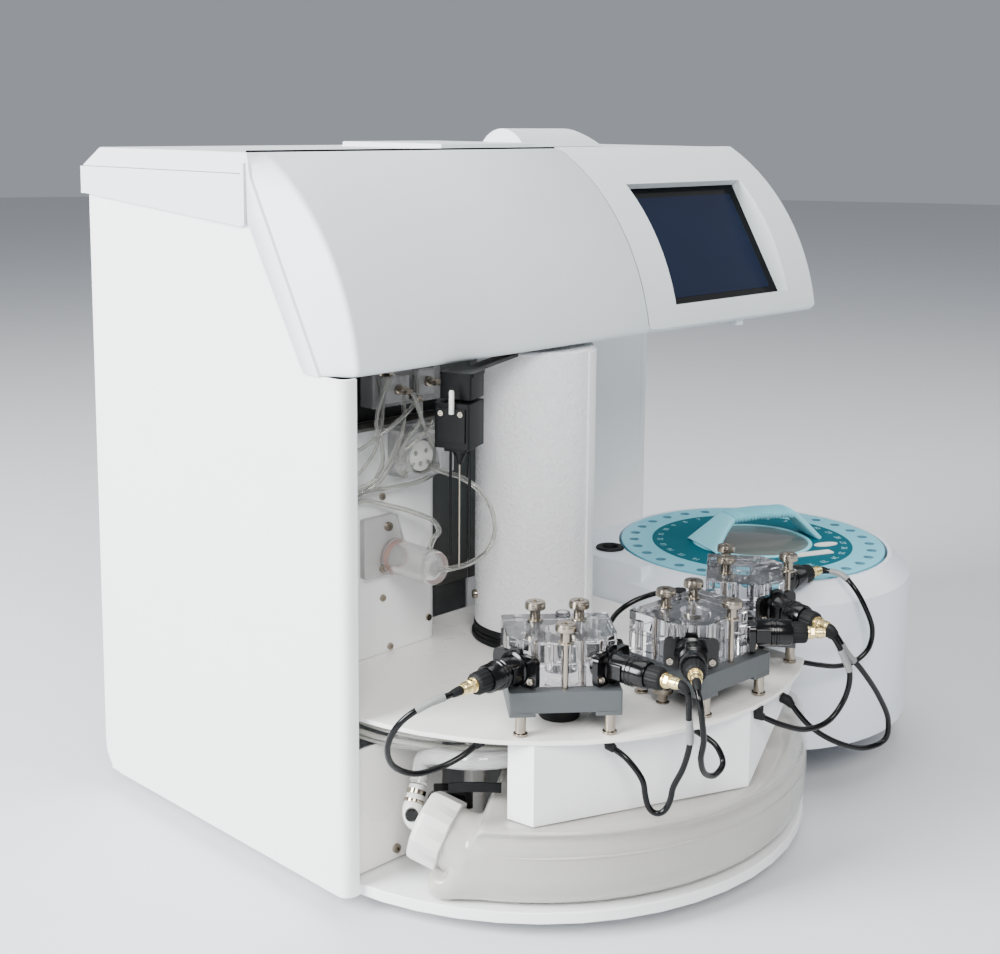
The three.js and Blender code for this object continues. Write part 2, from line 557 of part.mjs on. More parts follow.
// Waste tank: a milky arc-shaped bottle round the deck's posts, its neck pointing up and back
const cap = { x: 47, y: -35, z: 60, radius: 24, length: 22, wall: 3, hole: 7 };
const capAxis = new THREE.Vector3(-0.42, 0.85, 0.32).normalize();
const capPoint = (along) => new THREE.Vector3(cap.x, cap.y, cap.z).addScaledVector(capAxis, along);
{
  const tank = {
    inner: 118, foot: 192, belly: 206, bulge: 207, step: 200, upper: 198, lid: 190, wall: 3,
    bottom: plateTop + seat, bellyLow: 34, bellyHigh: 72, stepHeight: 84, upperHeight: 98, top: 104,
    from: -156, neckFrom: -147, to: -50, ledge: 31, skirtGap: 3, neck: 20.5, bore: 17, beyond: 103,
    neckSunk: 18,
  };
  // The tank's outer shape, or with an inset the shape of its hollow
  const shape = (inset) => {
    const profile = [
      [tank.inner + inset, tank.bottom + inset], [tank.foot, tank.bottom + inset],
      [tank.belly - inset, tank.bellyLow], [tank.bulge - inset, tank.bellyHigh],
      [tank.step - inset, tank.stepHeight], [tank.upper - inset, tank.upperHeight],
      [tank.lid - inset, tank.top - inset], [tank.inner + inset, tank.top - inset],
      [tank.inner + inset, tank.bottom + inset],
    ];
    const turnInset = THREE.MathUtils.radToDeg(inset / tank.foot);
    const wedgeReach = tank.bulge + tank.beyond;
    const wedge = (from) => {
      const rim = arc(0, 0, wedgeReach, from + turnInset, tank.to - turnInset, roundSteps);
      return prism([[0, 0], ...rim], 0, tank.top + cut);
    };
    const below = bar(wedgeReach, 0, tank.ledge - inset, roundSteps * 2);
    const sector = wedge(tank.neckFrom).add(wedge(tank.from).intersect(below));
    const body = aroundDeck(turned(profile).intersect(sector), 0);
    const gap = tank.skirtGap + inset;
    const far = tank.bulge * 2;
    const floor = skirt.bottom - gap;
    const facets = [skirtPath.slice(1, 3), skirtPath.slice(2)];
    const outside = facets.map(([a, b]) => {
      const along = new THREE.Vector2(b[0] - a[0], b[1] - a[1]).normalize();
      const edgeX = a[0] - along.y * (gap + skirt.thick);
      const edgeY = a[1] + along.x * (gap + skirt.thick);
      const start = [edgeX - along.x * far, edgeY - along.y * far];
      const stop = [edgeX + along.x * far, edgeY + along.y * far];
      return prism([start, [start[0], -far * 2], [stop[0], -far * 2], stop], floor, tank.top + cut);
    });
    const besideReturn = block(0, skirt.turnX + skirt.thick + gap, -far, skirt.leftBack + gap,
      floor, tank.top + cut);
    return trim(body, ...outside, besideReturn);
  };
  const neckStart = -cap.length / 2 - tank.neckSunk;
  const neckEnd = cap.length / 2 - cap.wall - seat;
  const neck = barBetween(capPoint(neckStart), capPoint(neckEnd), tank.neck);
  const bore = barBetween(capPoint(neckStart - tank.bore), capPoint(neckEnd + cut), tank.bore);
  node('waste_tank', trim(join(shape(0), neck), shape(tank.wall), bore), milky);

  const shell = barBetween(capPoint(-cap.length / 2), capPoint(cap.length / 2), cap.radius, ringSides / 2);
  const room = barBetween(capPoint(-cap.length / 2 - cut), capPoint(neckEnd + seat), tank.neck + seat * 2,
    ringSides / 2);
  const hole = barBetween(capPoint(0), capPoint(cap.length / 2 + cut), cap.hole + seat);
  node('tank_cap', trim(shell, room, hole), nylon);
}

// Elbow through the cap, and the drain hose from it to behind the skirt
const outlet = new THREE.Vector3(50, -14, 82);
{
  const elbow = { stem: 7, ball: 8.5, spout: 5.5, reach: 8, steps: 10 };
  const knee = capPoint(cap.length / 2 + elbow.reach);
  const stem = barBetween(capPoint(cap.wall), knee, elbow.stem);
  const ball = toSolid(new THREE.SphereGeometry(elbow.ball, elbow.steps, elbow.steps).translate(...knee));
  node('cap_elbow', join(stem, ball, barBetween(knee, outlet, elbow.spout)), nylon);
  const rising = outlet.clone().sub(knee).normalize();
  const start = outlet.clone().addScaledVector(rising, seat * 2);
  const straight = outlet.clone().addScaledVector(rising, elbow.reach);
  const hosePoints = [[...start], [...straight], [56, -13, 98], [55, -26, 105], [53, -46, 109], [58, -62, 112],
    [71, -71, 112], [88, -79, 112], [108, -88, 112], [125, -95, 112]];
  const hose = { radius: 6, radiiPerStep: 5 };
  node('drain_hose', tube(hosePoints, hose.radius, knobSides, hose.radiiPerStep), clear, cords);
}

// Bracket plate at the left of the tank, standing on the base plate
{
  const bracket = { front: 8, thick: 1.5, right: 95, top: 108, gap: 2 };
  node('side_bracket', block(cabinet.returnWidth + bracket.gap, bracket.right, bracket.front + bracket.gap,
    bracket.front + bracket.gap + bracket.thick, plateTop + seat, bracket.top), white);
}

// Sipper tower: a column on its collar, turning with the arm that carries the sliding sipper
const restAngle = -158.6;
const column = { radius: 44, wall: 2.5, clearance: 3, shaft: 10, play: 0.4 };
column.top = cabinet.shoulder - column.clearance;
const arm = { thick: 18.5, end: 141, width: 34 };
arm.top = column.top;
arm.bottom = arm.top - arm.thick;
const rods = { radius: 1.5, reach: 134, spread: 10, length: 107.5, sides: 8 };
rods.bottom = arm.bottom - rods.length;
{
  const lipTop = deck.top + seat + collar.lipThick;
  const sealTop = lipTop + collar.sealThick;
  const collarFoot = deckUnder - collar.reach;
  const bore = column.shaft + column.play;
  const profile = [[bore, collarFoot], [collar.spigot, collarFoot], [collar.spigot, deck.top + seat],
    [collar.lip, deck.top + seat], [collar.lip, lipTop], [collar.seal, lipTop], [collar.seal, sealTop],
    [collar.sealInner, sealTop], [collar.sealInner, lipTop], [bore, lipTop], [bore, collarFoot]];
  node('column_collar', aroundDeck(turned(profile, collar.sides), 0), rubber);
  const inner = column.radius - column.wall;
  const roof = column.top - column.wall;
  const cover = [[0, collarFoot], [column.shaft, collarFoot], [column.shaft, roof], [inner, roof],
    [inner, sealTop + seat], [column.radius, sealTop + seat], [column.radius, column.top], [0, column.top]];
  node('column_cover', aroundDeck(turned(cover), 0), white);

  const beam = block(column.radius + seat * 2, arm.end, -arm.width / 2, arm.width / 2, arm.bottom, arm.top);
  const guides = [-rods.spread, rods.spread].map((y) => bar(rods.radius, rods.bottom, arm.bottom + cut, rods.sides)
    .translate([rods.reach, y, 0]));
  node('sipper_arm', aroundDeck(join(beam, ...guides), restAngle), blackPlastic);

  const carriage = { near: 120, far: 148, width: 30, thick: 30.5, pinReach: 146, pin: 1.5, pinRise: 8.1,
    holder: 6, holderDrop: 8.9, needleLength: 75.6, needle: 1 };
  const top = arm.bottom - seat * 2;
  const bottom = top - carriage.thick;
  const holderBottom = bottom - carriage.holderDrop;
  const needleTop = holderBottom - seat;
  const holes = [-rods.spread, rods.spread].map((y) => bar(rods.radius + seat, bottom - cut, top + cut,
    rods.sides).translate([rods.reach, y, 0]));
  const body = block(carriage.near, carriage.far, -carriage.width / 2, carriage.width / 2, bottom, top);
  const holder = bar(carriage.holder, holderBottom, bottom + cut, rods.sides).translate([rods.reach, 0, 0]);
  const peg = bar(carriage.pin, top - cut, top + carriage.pinRise, rods.sides).translate([carriage.pinReach, 0, 0]);
  node('sipper_carriage', aroundDeck(join(trim(body, ...holes), holder, peg), restAngle), blackPlastic);
  const needle = bar(carriage.needle, needleTop - carriage.needleLength, needleTop, rods.sides)
    .translate([rods.reach, 0, 0]);
  node('sipper_needle', aroundDeck(needle, restAngle), steel);
}

// Pump and bubble cylinder on the valve panel
{
  const mount = valve.front - seat;
  const recessHeight = cabinet.shoulder - deck.top;
  const pump = { left: 110, right: 155, below: 15, above: 18, front: 62, x: 125, heightShare: 0.6563, pocket: 13,
    disc: 11, floor: 78, discFront: 64, shaft: 3 };
  pump.z = deck.top + pump.heightShare * recessHeight;
  const body = block(pump.left, pump.right, pump.front, mount, pump.z - pump.below, pump.z + pump.above);
  const pocket = barY(pump.pocket, pump.front - cut, pump.floor, pump.x, pump.z, ringSides / 2);
  const shaftHole = barY(pump.shaft + seat, pump.floor - cut, mount + cut, pump.x, pump.z);
  node('pump_housing', trim(body, pocket, shaftHole), clear);
  const disc = barY(pump.disc, pump.discFront, pump.floor - seat, pump.x, pump.z, ringSides / 2);
  const shaft = barY(pump.shaft, pump.floor - cut, mount - seat, pump.x, pump.z);
  const mark = block(pump.x - pump.shaft, pump.x + pump.shaft, pump.discFront - cut, pump.discFront + cut,
    pump.z, pump.z + pump.disc - cut);
  node('pump_rotor', join(disc, shaft, mark), nylon);

  const cylinder = { x: 112, heightShare: 0.3259, radius: 12.5, bore: 8, front: 33, plateLeft: 89,
    plateRight: 119, below: 13, above: 28, plate: 5 };
  cylinder.z = deck.top + cylinder.heightShare * recessHeight;
  const backing = block(cylinder.plateLeft, cylinder.plateRight, mount - cylinder.plate, mount,
    cylinder.z - cylinder.below, cylinder.z + cylinder.above);
  const drum = barY(cylinder.radius, cylinder.front, mount, cylinder.x, cylinder.z, ringSides / 2);
  const well = barY(cylinder.bore, cylinder.front + skin, mount - cylinder.plate, cylinder.x, cylinder.z);
  const vent = barY(skin / 2, cylinder.front - cut, cylinder.front + skin + cut, cylinder.x, cylinder.z);
  node('bubble_cylinder', trim(join(backing, drum), well, vent), clear);
}

// Measuring modules: a grey base on legs, a clear chamber held by three thumbscrews, two probes
const moduleSpots = { left: -130.5, middle: -92.5, right: -54.5 };
const chamber = { near: 129, waist: 170, far: 185.2, side: 36, nose: 21.5, bottom: 162.3, top: 191.6 };
{
  const base = { near: 128, far: 194, bottom: 146, leg: 3.5, legInset: 7.6 };
  const screw = { near: 143, far: 188, spread: 14.5, shank: 2, neck: 3.5, neckHeight: 8.1, head: 6.9,
    headHeight: 4.9, dish: 1.5, sides: 8 };
  const inlet = { reach: 134, aside: 5, bore: 2.5, ring: 5, proud: 2.4, depth: 20 };
  const probe = { z: 173.4, flange: 36, flangeHigh: 20, flangeThick: 4, body: 9, bodyEnd: 31, grip: 7.4,
    gripEnd: 42, tip: 3.2, tipEnd: 51, drop: 2 };
  const chamberOutline = [[chamber.near, -chamber.side], [chamber.waist, -chamber.side],
    [chamber.far, -chamber.nose], [chamber.far, chamber.nose], [chamber.waist, chamber.side],
    [chamber.near, chamber.side]];
  const screwSpots = [[screw.near, -screw.spread], [screw.near, screw.spread], [screw.far, 0]];
  const legSpots = [base.far - base.leg, base.near + base.leg * 2].flatMap((x) => [
    [x, base.legInset - chamber.side], [x, chamber.side - base.legInset]]);
  const neckFoot = chamber.top + seat;
  const headFoot = neckFoot + screw.neckHeight;
  const headTop = headFoot + screw.headHeight;
  const screwProfile = [[0, base.bottom + cut], [screw.shank, base.bottom + cut], [screw.shank, neckFoot],
    [screw.neck, neckFoot], [screw.neck, headFoot], [screw.head, headFoot], [screw.head, headTop],
    [screw.neck, headTop], [screw.neck - screw.dish / 2, headTop - screw.dish], [0, headTop - screw.dish]];
  const slab = block(base.near, base.far, -chamber.side, chamber.side, base.bottom, chamber.bottom - seat);
  const legs = legSpots.map(([x, y]) => bar(base.leg, deck.top + seat, base.bottom + cut, screw.sides)
    .translate([x, y, 0]));
  const screws = screwSpots.map(([x, y]) => turned(screwProfile, screw.sides).translate([x, y, 0]));
  const bases = join(slab, ...legs, ...screws);

  const clearBlock = prism(chamberOutline, chamber.bottom, chamber.top);
  const holes = screwSpots.slice(0, 2).map(([x, y]) => bar(screw.shank + seat * 2, chamber.bottom - cut,
    chamber.top + cut, screw.sides).translate([x, y, 0]));
  const inletRing = bar(inlet.ring, chamber.top - cut, chamber.top + inlet.proud, screw.sides)
    .translate([inlet.reach, inlet.aside, 0]);
  const inletBore = bar(inlet.bore, chamber.top - inlet.depth, chamber.top + inlet.proud + cut, screw.sides)
    .translate([inlet.reach, inlet.aside, 0]);
  const chambers = trim(join(clearBlock, inletRing), ...holes, inletBore);

  const end = probe.flangeHigh / 2;
  const straight = probe.flange / 2 - end;
  const ovalEnds = [
    ...arc(0, straight, end, 0, 180, roundSteps * 2),
    ...arc(0, -straight, end, 180, 360, roundSteps * 2),
  ];
  const lying = join(
    prism(ovalEnds, 0, probe.flangeThick),
    bar(probe.body, probe.flangeThick / 2, probe.bodyEnd),
    bar(probe.grip, probe.bodyEnd - cut, probe.gripEnd),
    bar(probe.tip, probe.gripEnd - cut, probe.tipEnd, screw.sides),
  ).rotate([0, 90, 0]);
  const chamferX = (chamber.waist + chamber.far) / 2;
  const chamferY = (chamber.side + chamber.nose) / 2;
  const outwards = THREE.MathUtils.radToDeg(Math.atan2(chamber.far - chamber.waist, chamber.side - chamber.nose));
  for (const [side, angle] of Object.entries(moduleSpots)) {
    node(`module_${side}_base`, aroundDeck(bases, angle), moduleGrey);
    node(`module_${side}_chamber`, aroundDeck(chambers, angle), clear);
    for (const [hand, sign] of [['left', -1], ['right', 1]]) {
      const placed = lying.translate([seat, 0, probe.z]).rotate([0, 0, sign * outwards])
        .translate([chamferX, chamferY * sign, 0]);
      node(`module_${side}_probe_${hand}`, aroundDeck(placed, angle), blackPlastic);
    }
  }
}

// Sample turntable: a drum housing on posts, its rotor with a ring of tube places, and a handle
const port = { x: 345.5, y: 73.2, radius: 9, flange: 11, bore: 6.5, thick: 1.7, depth: 4 };
{
  const corner = { left: 321, front: 20, back: 118 };
  const well = { radius: 112, floor: 103 };
  const spindle = { radius: 6, top: 150, play: 0.3 };
  const post = { radius: 9, spots: [[-86, 67], [-81, -43]] };
  const leg = { x: 54, y: 7, radius: 12 };
  const at = (solid) => solid.translate([table.x, table.y, 0]);
  const drum = turned([[0, table.bottom], [table.radius, table.bottom], [table.radius, table.bevelLow],
    [table.bevel, table.top], [0, table.top]]);
  const square = block(corner.left - table.x, 0, corner.front - table.y, corner.back - table.y,
    table.bottom, table.top);
  const rim = well.radius + skin;
  const wellUnder = well.floor - skin;
  const room = turned([[0, table.bottom - cut], [table.radius - skin, table.bottom - cut],
    [table.radius - skin, table.bevelLow - skin / 2], [rim, table.top - skin * 2], [rim, wellUnder], [0, wellUnder]]);
  const squareRoom = block(corner.left + skin - table.x, 0, corner.front + skin - table.y, corner.back - skin - table.y,
    table.bottom - cut, table.top - skin).subtract(bar(rim, wellUnder, table.top, ringSides));
  const wellCut = bar(well.radius, well.floor, table.top + cut, ringSides);
  const portHole = bar(port.radius + seat, table.top - skin - cut, table.top + cut, ringSides / 2)
    .translate([port.x - table.x, port.y - table.y, 0]);
  const posts = post.spots.map(([x, y]) => bar(post.radius, plateTop + seat, well.floor - skin / 2).translate([x, y, 0]));
  const footLeg = bar(leg.radius, 0, well.floor - skin / 2).translate([leg.x, leg.y, 0]);
  const axle = bar(spindle.radius, well.floor - skin / 2, spindle.top);
  const shell = trim(join(drum, square), room, squareRoom, wellCut, portHole);
  node('turntable_housing', at(join(shell, ...posts, footLeg, axle)), coolWhite);

  const collarRing = ring(port.flange, port.bore, table.top + seat, table.top + seat + port.thick, ringSides / 2);
  const sleeve = ring(port.radius, port.bore, table.top - port.depth, table.top + seat + port.thick, ringSides / 2);
  node('port_grommet', join(collarRing, sleeve).translate([port.x, port.y, 0]), rubber);

  const rotor = { radius: 109.5, top: 166, thick: 10, hub: 16, tray: 104, trayThick: 5, holes: 30,
    holeReach: 98.8, hole: 4.5, sides: 8 };
  const low = well.floor + seat * 3;
  const topPlate = bar(rotor.radius, rotor.top - rotor.thick, rotor.top, ringSides);
  const lowPlate = bar(rotor.tray, low, low + rotor.trayThick, ringSides);
  const hub = bar(rotor.hub, low, rotor.top, ringSides / 2);
  const blind = bar(spindle.radius + spindle.play, low - cut, spindle.top + spindle.play);
  const places = Array.from({ length: rotor.holes }, (_, i) => bar(rotor.hole, rotor.top - rotor.thick - cut,
    rotor.top + cut, rotor.sides).translate([rotor.holeReach, 0, 0]).rotate([0, 0, (360 * i) / rotor.holes]));
  node('sample_rotor', at(trim(join(topPlate, lowPlate, hub), blind, ...places)), rotorBlue);

  const handle = { angle: -24, shift: 5.7, foot: 56, grip: 31, top: 191, rise: 3, thick: 7, width: 22, tread: 8 };
  const z0 = rotor.top + seat;
  const arch = frontSlab([[-handle.foot, z0], [-handle.grip, handle.top - handle.rise], [0, handle.top],
    [handle.grip, handle.top - handle.rise], [handle.foot, z0], [handle.foot - handle.tread, z0],
    [handle.grip - handle.rise, handle.top - handle.rise - handle.thick], [0, handle.top - handle.thick],
    [handle.rise - handle.grip, handle.top - handle.rise - handle.thick], [handle.tread - handle.foot, z0]],
  -handle.width / 2, handle.width / 2);
  node('rotor_handle', at(arch.translate([handle.shift, 0, 0]).rotate([0, 0, handle.angle])), gripBlue);
}

// Cables of the probes: the routes lie free, so their points are chosen one by one
{
  const cable = { radius: 2, sides: 8, radiiPerStep: 5 };
  const routes = {
    cable_left_a: [[27.2, -80.2, 173.4], [17, -79, 172], [2, -73, 168], [-9, -64, 158], [-12, -56, 144],
      [-7, -50, 130], [3, -47, 119], [17, -49, 112], [32, -54, 113], [45, -60, 118], [56, -66, 126.5]],
    cable_left_b: [[127.7, -166.2, 173.4], [128, -169.2, 173.3], [129.2, -173, 169.5], [130, -174, 164], [131, -173.5, 152],
      [135.5, -171.5, 135], [135.5, -167, 117], [133, -161, 102], [130, -156, 90], [127, -153.5, 84.5],
      [125, -151, 92], [121, -146, 106], [116, -137, 119], [113, -125, 125]],
    cable_middle_a: [[140.6, -171.2, 173.4], [138.3, -173.1, 173.3], [134.8, -177, 169], [133, -180, 165], [133, -182, 153],
      [138, -180, 137], [141, -176, 123], [150, -173, 110], [162, -172, 105], [173, -170, 109],
      [173, -164, 119], [170, -152, 125], [171, -144, 126]],
    cable_middle_b: [[272.7, -176.9, 173.4], [275.5, -179.8, 173.2], [279, -183, 169.5], [285, -187, 157], [291.5, -189, 142],
      [292.5, -185, 123], [282, -180, 109], [262, -175, 107], [240, -169, 115], [224, -161, 124]],
    cable_right_a: [[286, -173.1, 173.4], [285.5, -176, 173.3], [286.5, -181, 168], [291, -186, 157], [304, -190, 143], [327, -192, 117],
      [343, -191, 94], [345, -188, 79], [331, -182, 75], [305, -174, 84], [285, -163, 99], [275, -151, 117]],
    cable_right_b: [[393.6, -96.2, 173.4], [399, -97.2, 172.9], [402, -112, 172], [401, -124, 165], [404, -133, 150],
      [409, -137, 132], [406, -136, 118], [396, -131, 109], [380, -126, 108], [360, -122, 113],
      [340, -114, 119], [322, -104, 123], [306, -96, 125]],
    sensor_cable: [[282, -54, 172], [272, -47, 173], [258, -41, 172], [244, -33, 167], [235, -26, 158],
      [231, -23, 147], [234, -25, 138], [237, -27, 135.5]],
  };
  for (const [name, points] of Object.entries(routes)) {
    node(name, tube(points, cable.radius, cable.sides, cable.radiiPerStep), cableBlack, cords);
  }
}

// The origin is the middle of the footprint without the cables, on the table
const extent = new THREE.Box3().setFromObject(assembly);
const middle = extent.getCenter(new THREE.Vector3());
assembly.add(cords);
assembly.position.set(-middle.x, -middle.y, -extent.min.z);

export default assembly;
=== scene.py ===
# The looks of a bench-top bioanalyzer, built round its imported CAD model. Metres, +Z up.
import bmesh
import bpy
import math
import numpy as np
from mathutils import Matrix, Vector
from mathutils.geometry import tessellate_polygon


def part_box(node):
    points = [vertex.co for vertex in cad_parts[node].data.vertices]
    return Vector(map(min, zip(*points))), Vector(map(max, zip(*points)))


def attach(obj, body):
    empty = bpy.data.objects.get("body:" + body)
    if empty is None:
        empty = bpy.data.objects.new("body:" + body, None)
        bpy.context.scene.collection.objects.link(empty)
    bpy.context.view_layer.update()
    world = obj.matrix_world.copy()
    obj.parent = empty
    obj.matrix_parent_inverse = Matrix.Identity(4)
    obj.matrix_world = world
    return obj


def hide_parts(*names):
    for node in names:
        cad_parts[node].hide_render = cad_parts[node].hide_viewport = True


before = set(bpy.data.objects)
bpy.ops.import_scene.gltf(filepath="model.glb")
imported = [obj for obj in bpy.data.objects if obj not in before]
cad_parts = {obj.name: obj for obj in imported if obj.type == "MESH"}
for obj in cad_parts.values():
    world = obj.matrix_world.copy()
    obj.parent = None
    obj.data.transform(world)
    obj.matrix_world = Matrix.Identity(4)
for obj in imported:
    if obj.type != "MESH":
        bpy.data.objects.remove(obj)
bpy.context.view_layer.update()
print("frame loaded:", len(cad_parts), "nodes")

# The drawing's millimetres run from the cabinet's left front corner; the row's origin is its middle
millimetre = 0.001
cabinet = {"width": 497, "depth": 292}
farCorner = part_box("right_side_panel")[1]
origin = np.array([farCorner.x - cabinet["width"] * millimetre,
                   farCorner.y - cabinet["depth"] * millimetre, 0.0])


def place(points):
    # drawing millimetres to row metres: times 0.001, plus the origin
    return np.asarray(points, float) * millimetre + origin


def inDrawing(points):
    # row metres back to drawing millimetres: less the origin, divided by 0.001
    return (np.array(points) - origin) / millimetre


# Camera: the viewpoint is in drawing millimetres, and the focal length in pixels of the photograph's width
viewpoint = {
    "spot": (-585.8, -710.9, 517.8), "yaw": 45.537, "pitch": 8.237, "roll": 0.447, "focal": 1507.6,
    "photoWidth": 1000, "sensor": 36.0, "shiftY": -0.14, "near": 0.05, "far": 20.0,
}


def makeCamera(facts):
    # looks along yaw (from +Y towards +X) and pitch (down), then rolls about its own axis
    data = bpy.data.cameras.new("photoCamera")
    data.sensor_width = facts["sensor"]
    data.lens = facts["focal"] / facts["photoWidth"] * facts["sensor"]
    data.shift_y = facts["shiftY"]
    data.clip_start = facts["near"]
    data.clip_end = facts["far"]
    camera = bpy.data.objects.new("photoCamera", data)
    yaw, pitch, roll = (math.radians(facts[k]) for k in ("yaw", "pitch", "roll"))
    heading = Matrix.Rotation(-yaw, 4, "Z") @ Matrix.Rotation(math.pi / 2 - pitch, 4, "X")
    spot = Matrix.Translation(Vector(place(facts["spot"])))
    camera.matrix_world = spot @ heading @ Matrix.Rotation(roll, 4, "Z")
    bpy.context.scene.collection.objects.link(camera)
    bpy.context.scene.camera = camera


makeCamera(viewpoint)

# Square lamps in metres and watts, and the stage: a wide floor under an even pale sky
lamps = {
    "frontLamp": {"at": (-1.5, -1.7, 1.9), "aim": (0, 0, 0.25), "size": 1.1, "power": 74,
                  "colour": (1.0, 0.985, 0.96)},
    "leftLamp": {"at": (-2.2, 0.6, 1.3), "aim": (-0.1, 0, 0.25), "size": 1.2, "power": 200,
                 "colour": (0.97, 0.985, 1.0)},
    "rightLamp": {"at": (2.0, -1.2, 1.5), "aim": (0.1, 0, 0.2), "size": 1.4, "power": 12,
                  "colour": (1.0, 0.98, 0.96)},
    "topLamp": {"at": (0.1, 0.2, 2.4), "aim": (0, 0, 0.3), "size": 1.6, "power": 32,
                "colour": (1.0, 1.0, 1.0)},
}
stage = {"radius": 9, "sides": 64, "sky": "#dfe5ee", "brightness": 0.42}


def makeLamp(name, facts):
    # a square area lamp that looks from its place towards its aim
    light = bpy.data.lights.new(name, "AREA")
    light.energy = facts["power"]
    light.size = facts["size"]
    light.color = facts["colour"]
    lamp = bpy.data.objects.new(name, light)
    lamp.location = facts["at"]
    lamp.rotation_euler = (Vector(facts["aim"]) - Vector(facts["at"])).to_track_quat("-Z", "Y").to_euler()
    bpy.context.scene.collection.objects.link(lamp)


for name, facts in lamps.items():
    makeLamp(name, facts)
print("camera and lamps:", 1 + len(lamps))


def linear(code):
    # sRGB hex to linear light: a straight line below 0.04045, a power of 2.4 above it
    parts = [int(code[i:i + 2], 16) / 255 for i in (1, 3, 5)]
    return (*(p / 12.92 if p <= 0.04045 else ((p + 0.055) / 1.055) ** 2.4 for p in parts), 1.0)


def addNode(tree, kind, inputs=None, **settings):
    # one node with its settings; an input is linked where its value is a socket, and set otherwise
    node = tree.nodes.new("ShaderNode" + kind)
    for key, value in settings.items():
        setattr(node, key, value)
    for key, value in (inputs or {}).items():
        if isinstance(value, bpy.types.NodeSocket):
            tree.links.new(value, node.inputs[key])
        else:
            node.inputs[key].default_value = value
    return node


def perMillimetre(size):
    # a texture's scale for a pattern of that size in millimetres, on Object coordinates in metres
    return 1.0 / (size * millimetre)


# What every finish shares: a patch's size in millimetres unless the finish gives it, and both noises' detail
noises = {"patch": 60, "patchDetail": 3.0, "grainDetail": 2.0}


def finished(name, facts):
    # colour drifts between two tones over a patch size; a fine grain gives the bump; gloss drifts a little
    material = bpy.data.materials.new(name)
    material.use_nodes = True
    tree = material.node_tree
    shader = tree.nodes["Principled BSDF"]
    for key, value in facts.get("sockets", {}).items():
        shader.inputs[key].default_value = value
    coords = addNode(tree, "TexCoord").outputs["Object"]
    scale = perMillimetre(facts.get("patch", noises["patch"]))
    patch = addNode(tree, "TexNoise", {"Vector": coords, "Scale": scale, "Detail": noises["patchDetail"]})
    # a colour Mix takes its factor in socket 0 and its two tones in 6 and 7
    tones = addNode(tree, "Mix", {0: patch.outputs["Fac"], 6: linear(facts["colour"]),
                                  7: linear(facts["shade"])}, data_type="RGBA")
    tree.links.new(tones.outputs[2], shader.inputs["Base Color"])
    grain = addNode(tree, "TexNoise", {"Vector": coords, "Scale": perMillimetre(facts["grain"]),
                                       "Detail": noises["grainDetail"]})
    bump = addNode(tree, "Bump", {"Height": grain.outputs["Fac"], "Strength": 1.0,
                                  "Distance": facts["height"] * millimetre})
    tree.links.new(bump.outputs["Normal"], shader.inputs["Normal"])
    low, high = facts["roughness"]
    gloss = addNode(tree, "MapRange", {"Value": patch.outputs["Fac"], "To Min": low, "To Max": high})
    tree.links.new(gloss.outputs["Result"], shader.inputs["Roughness"])
    return material


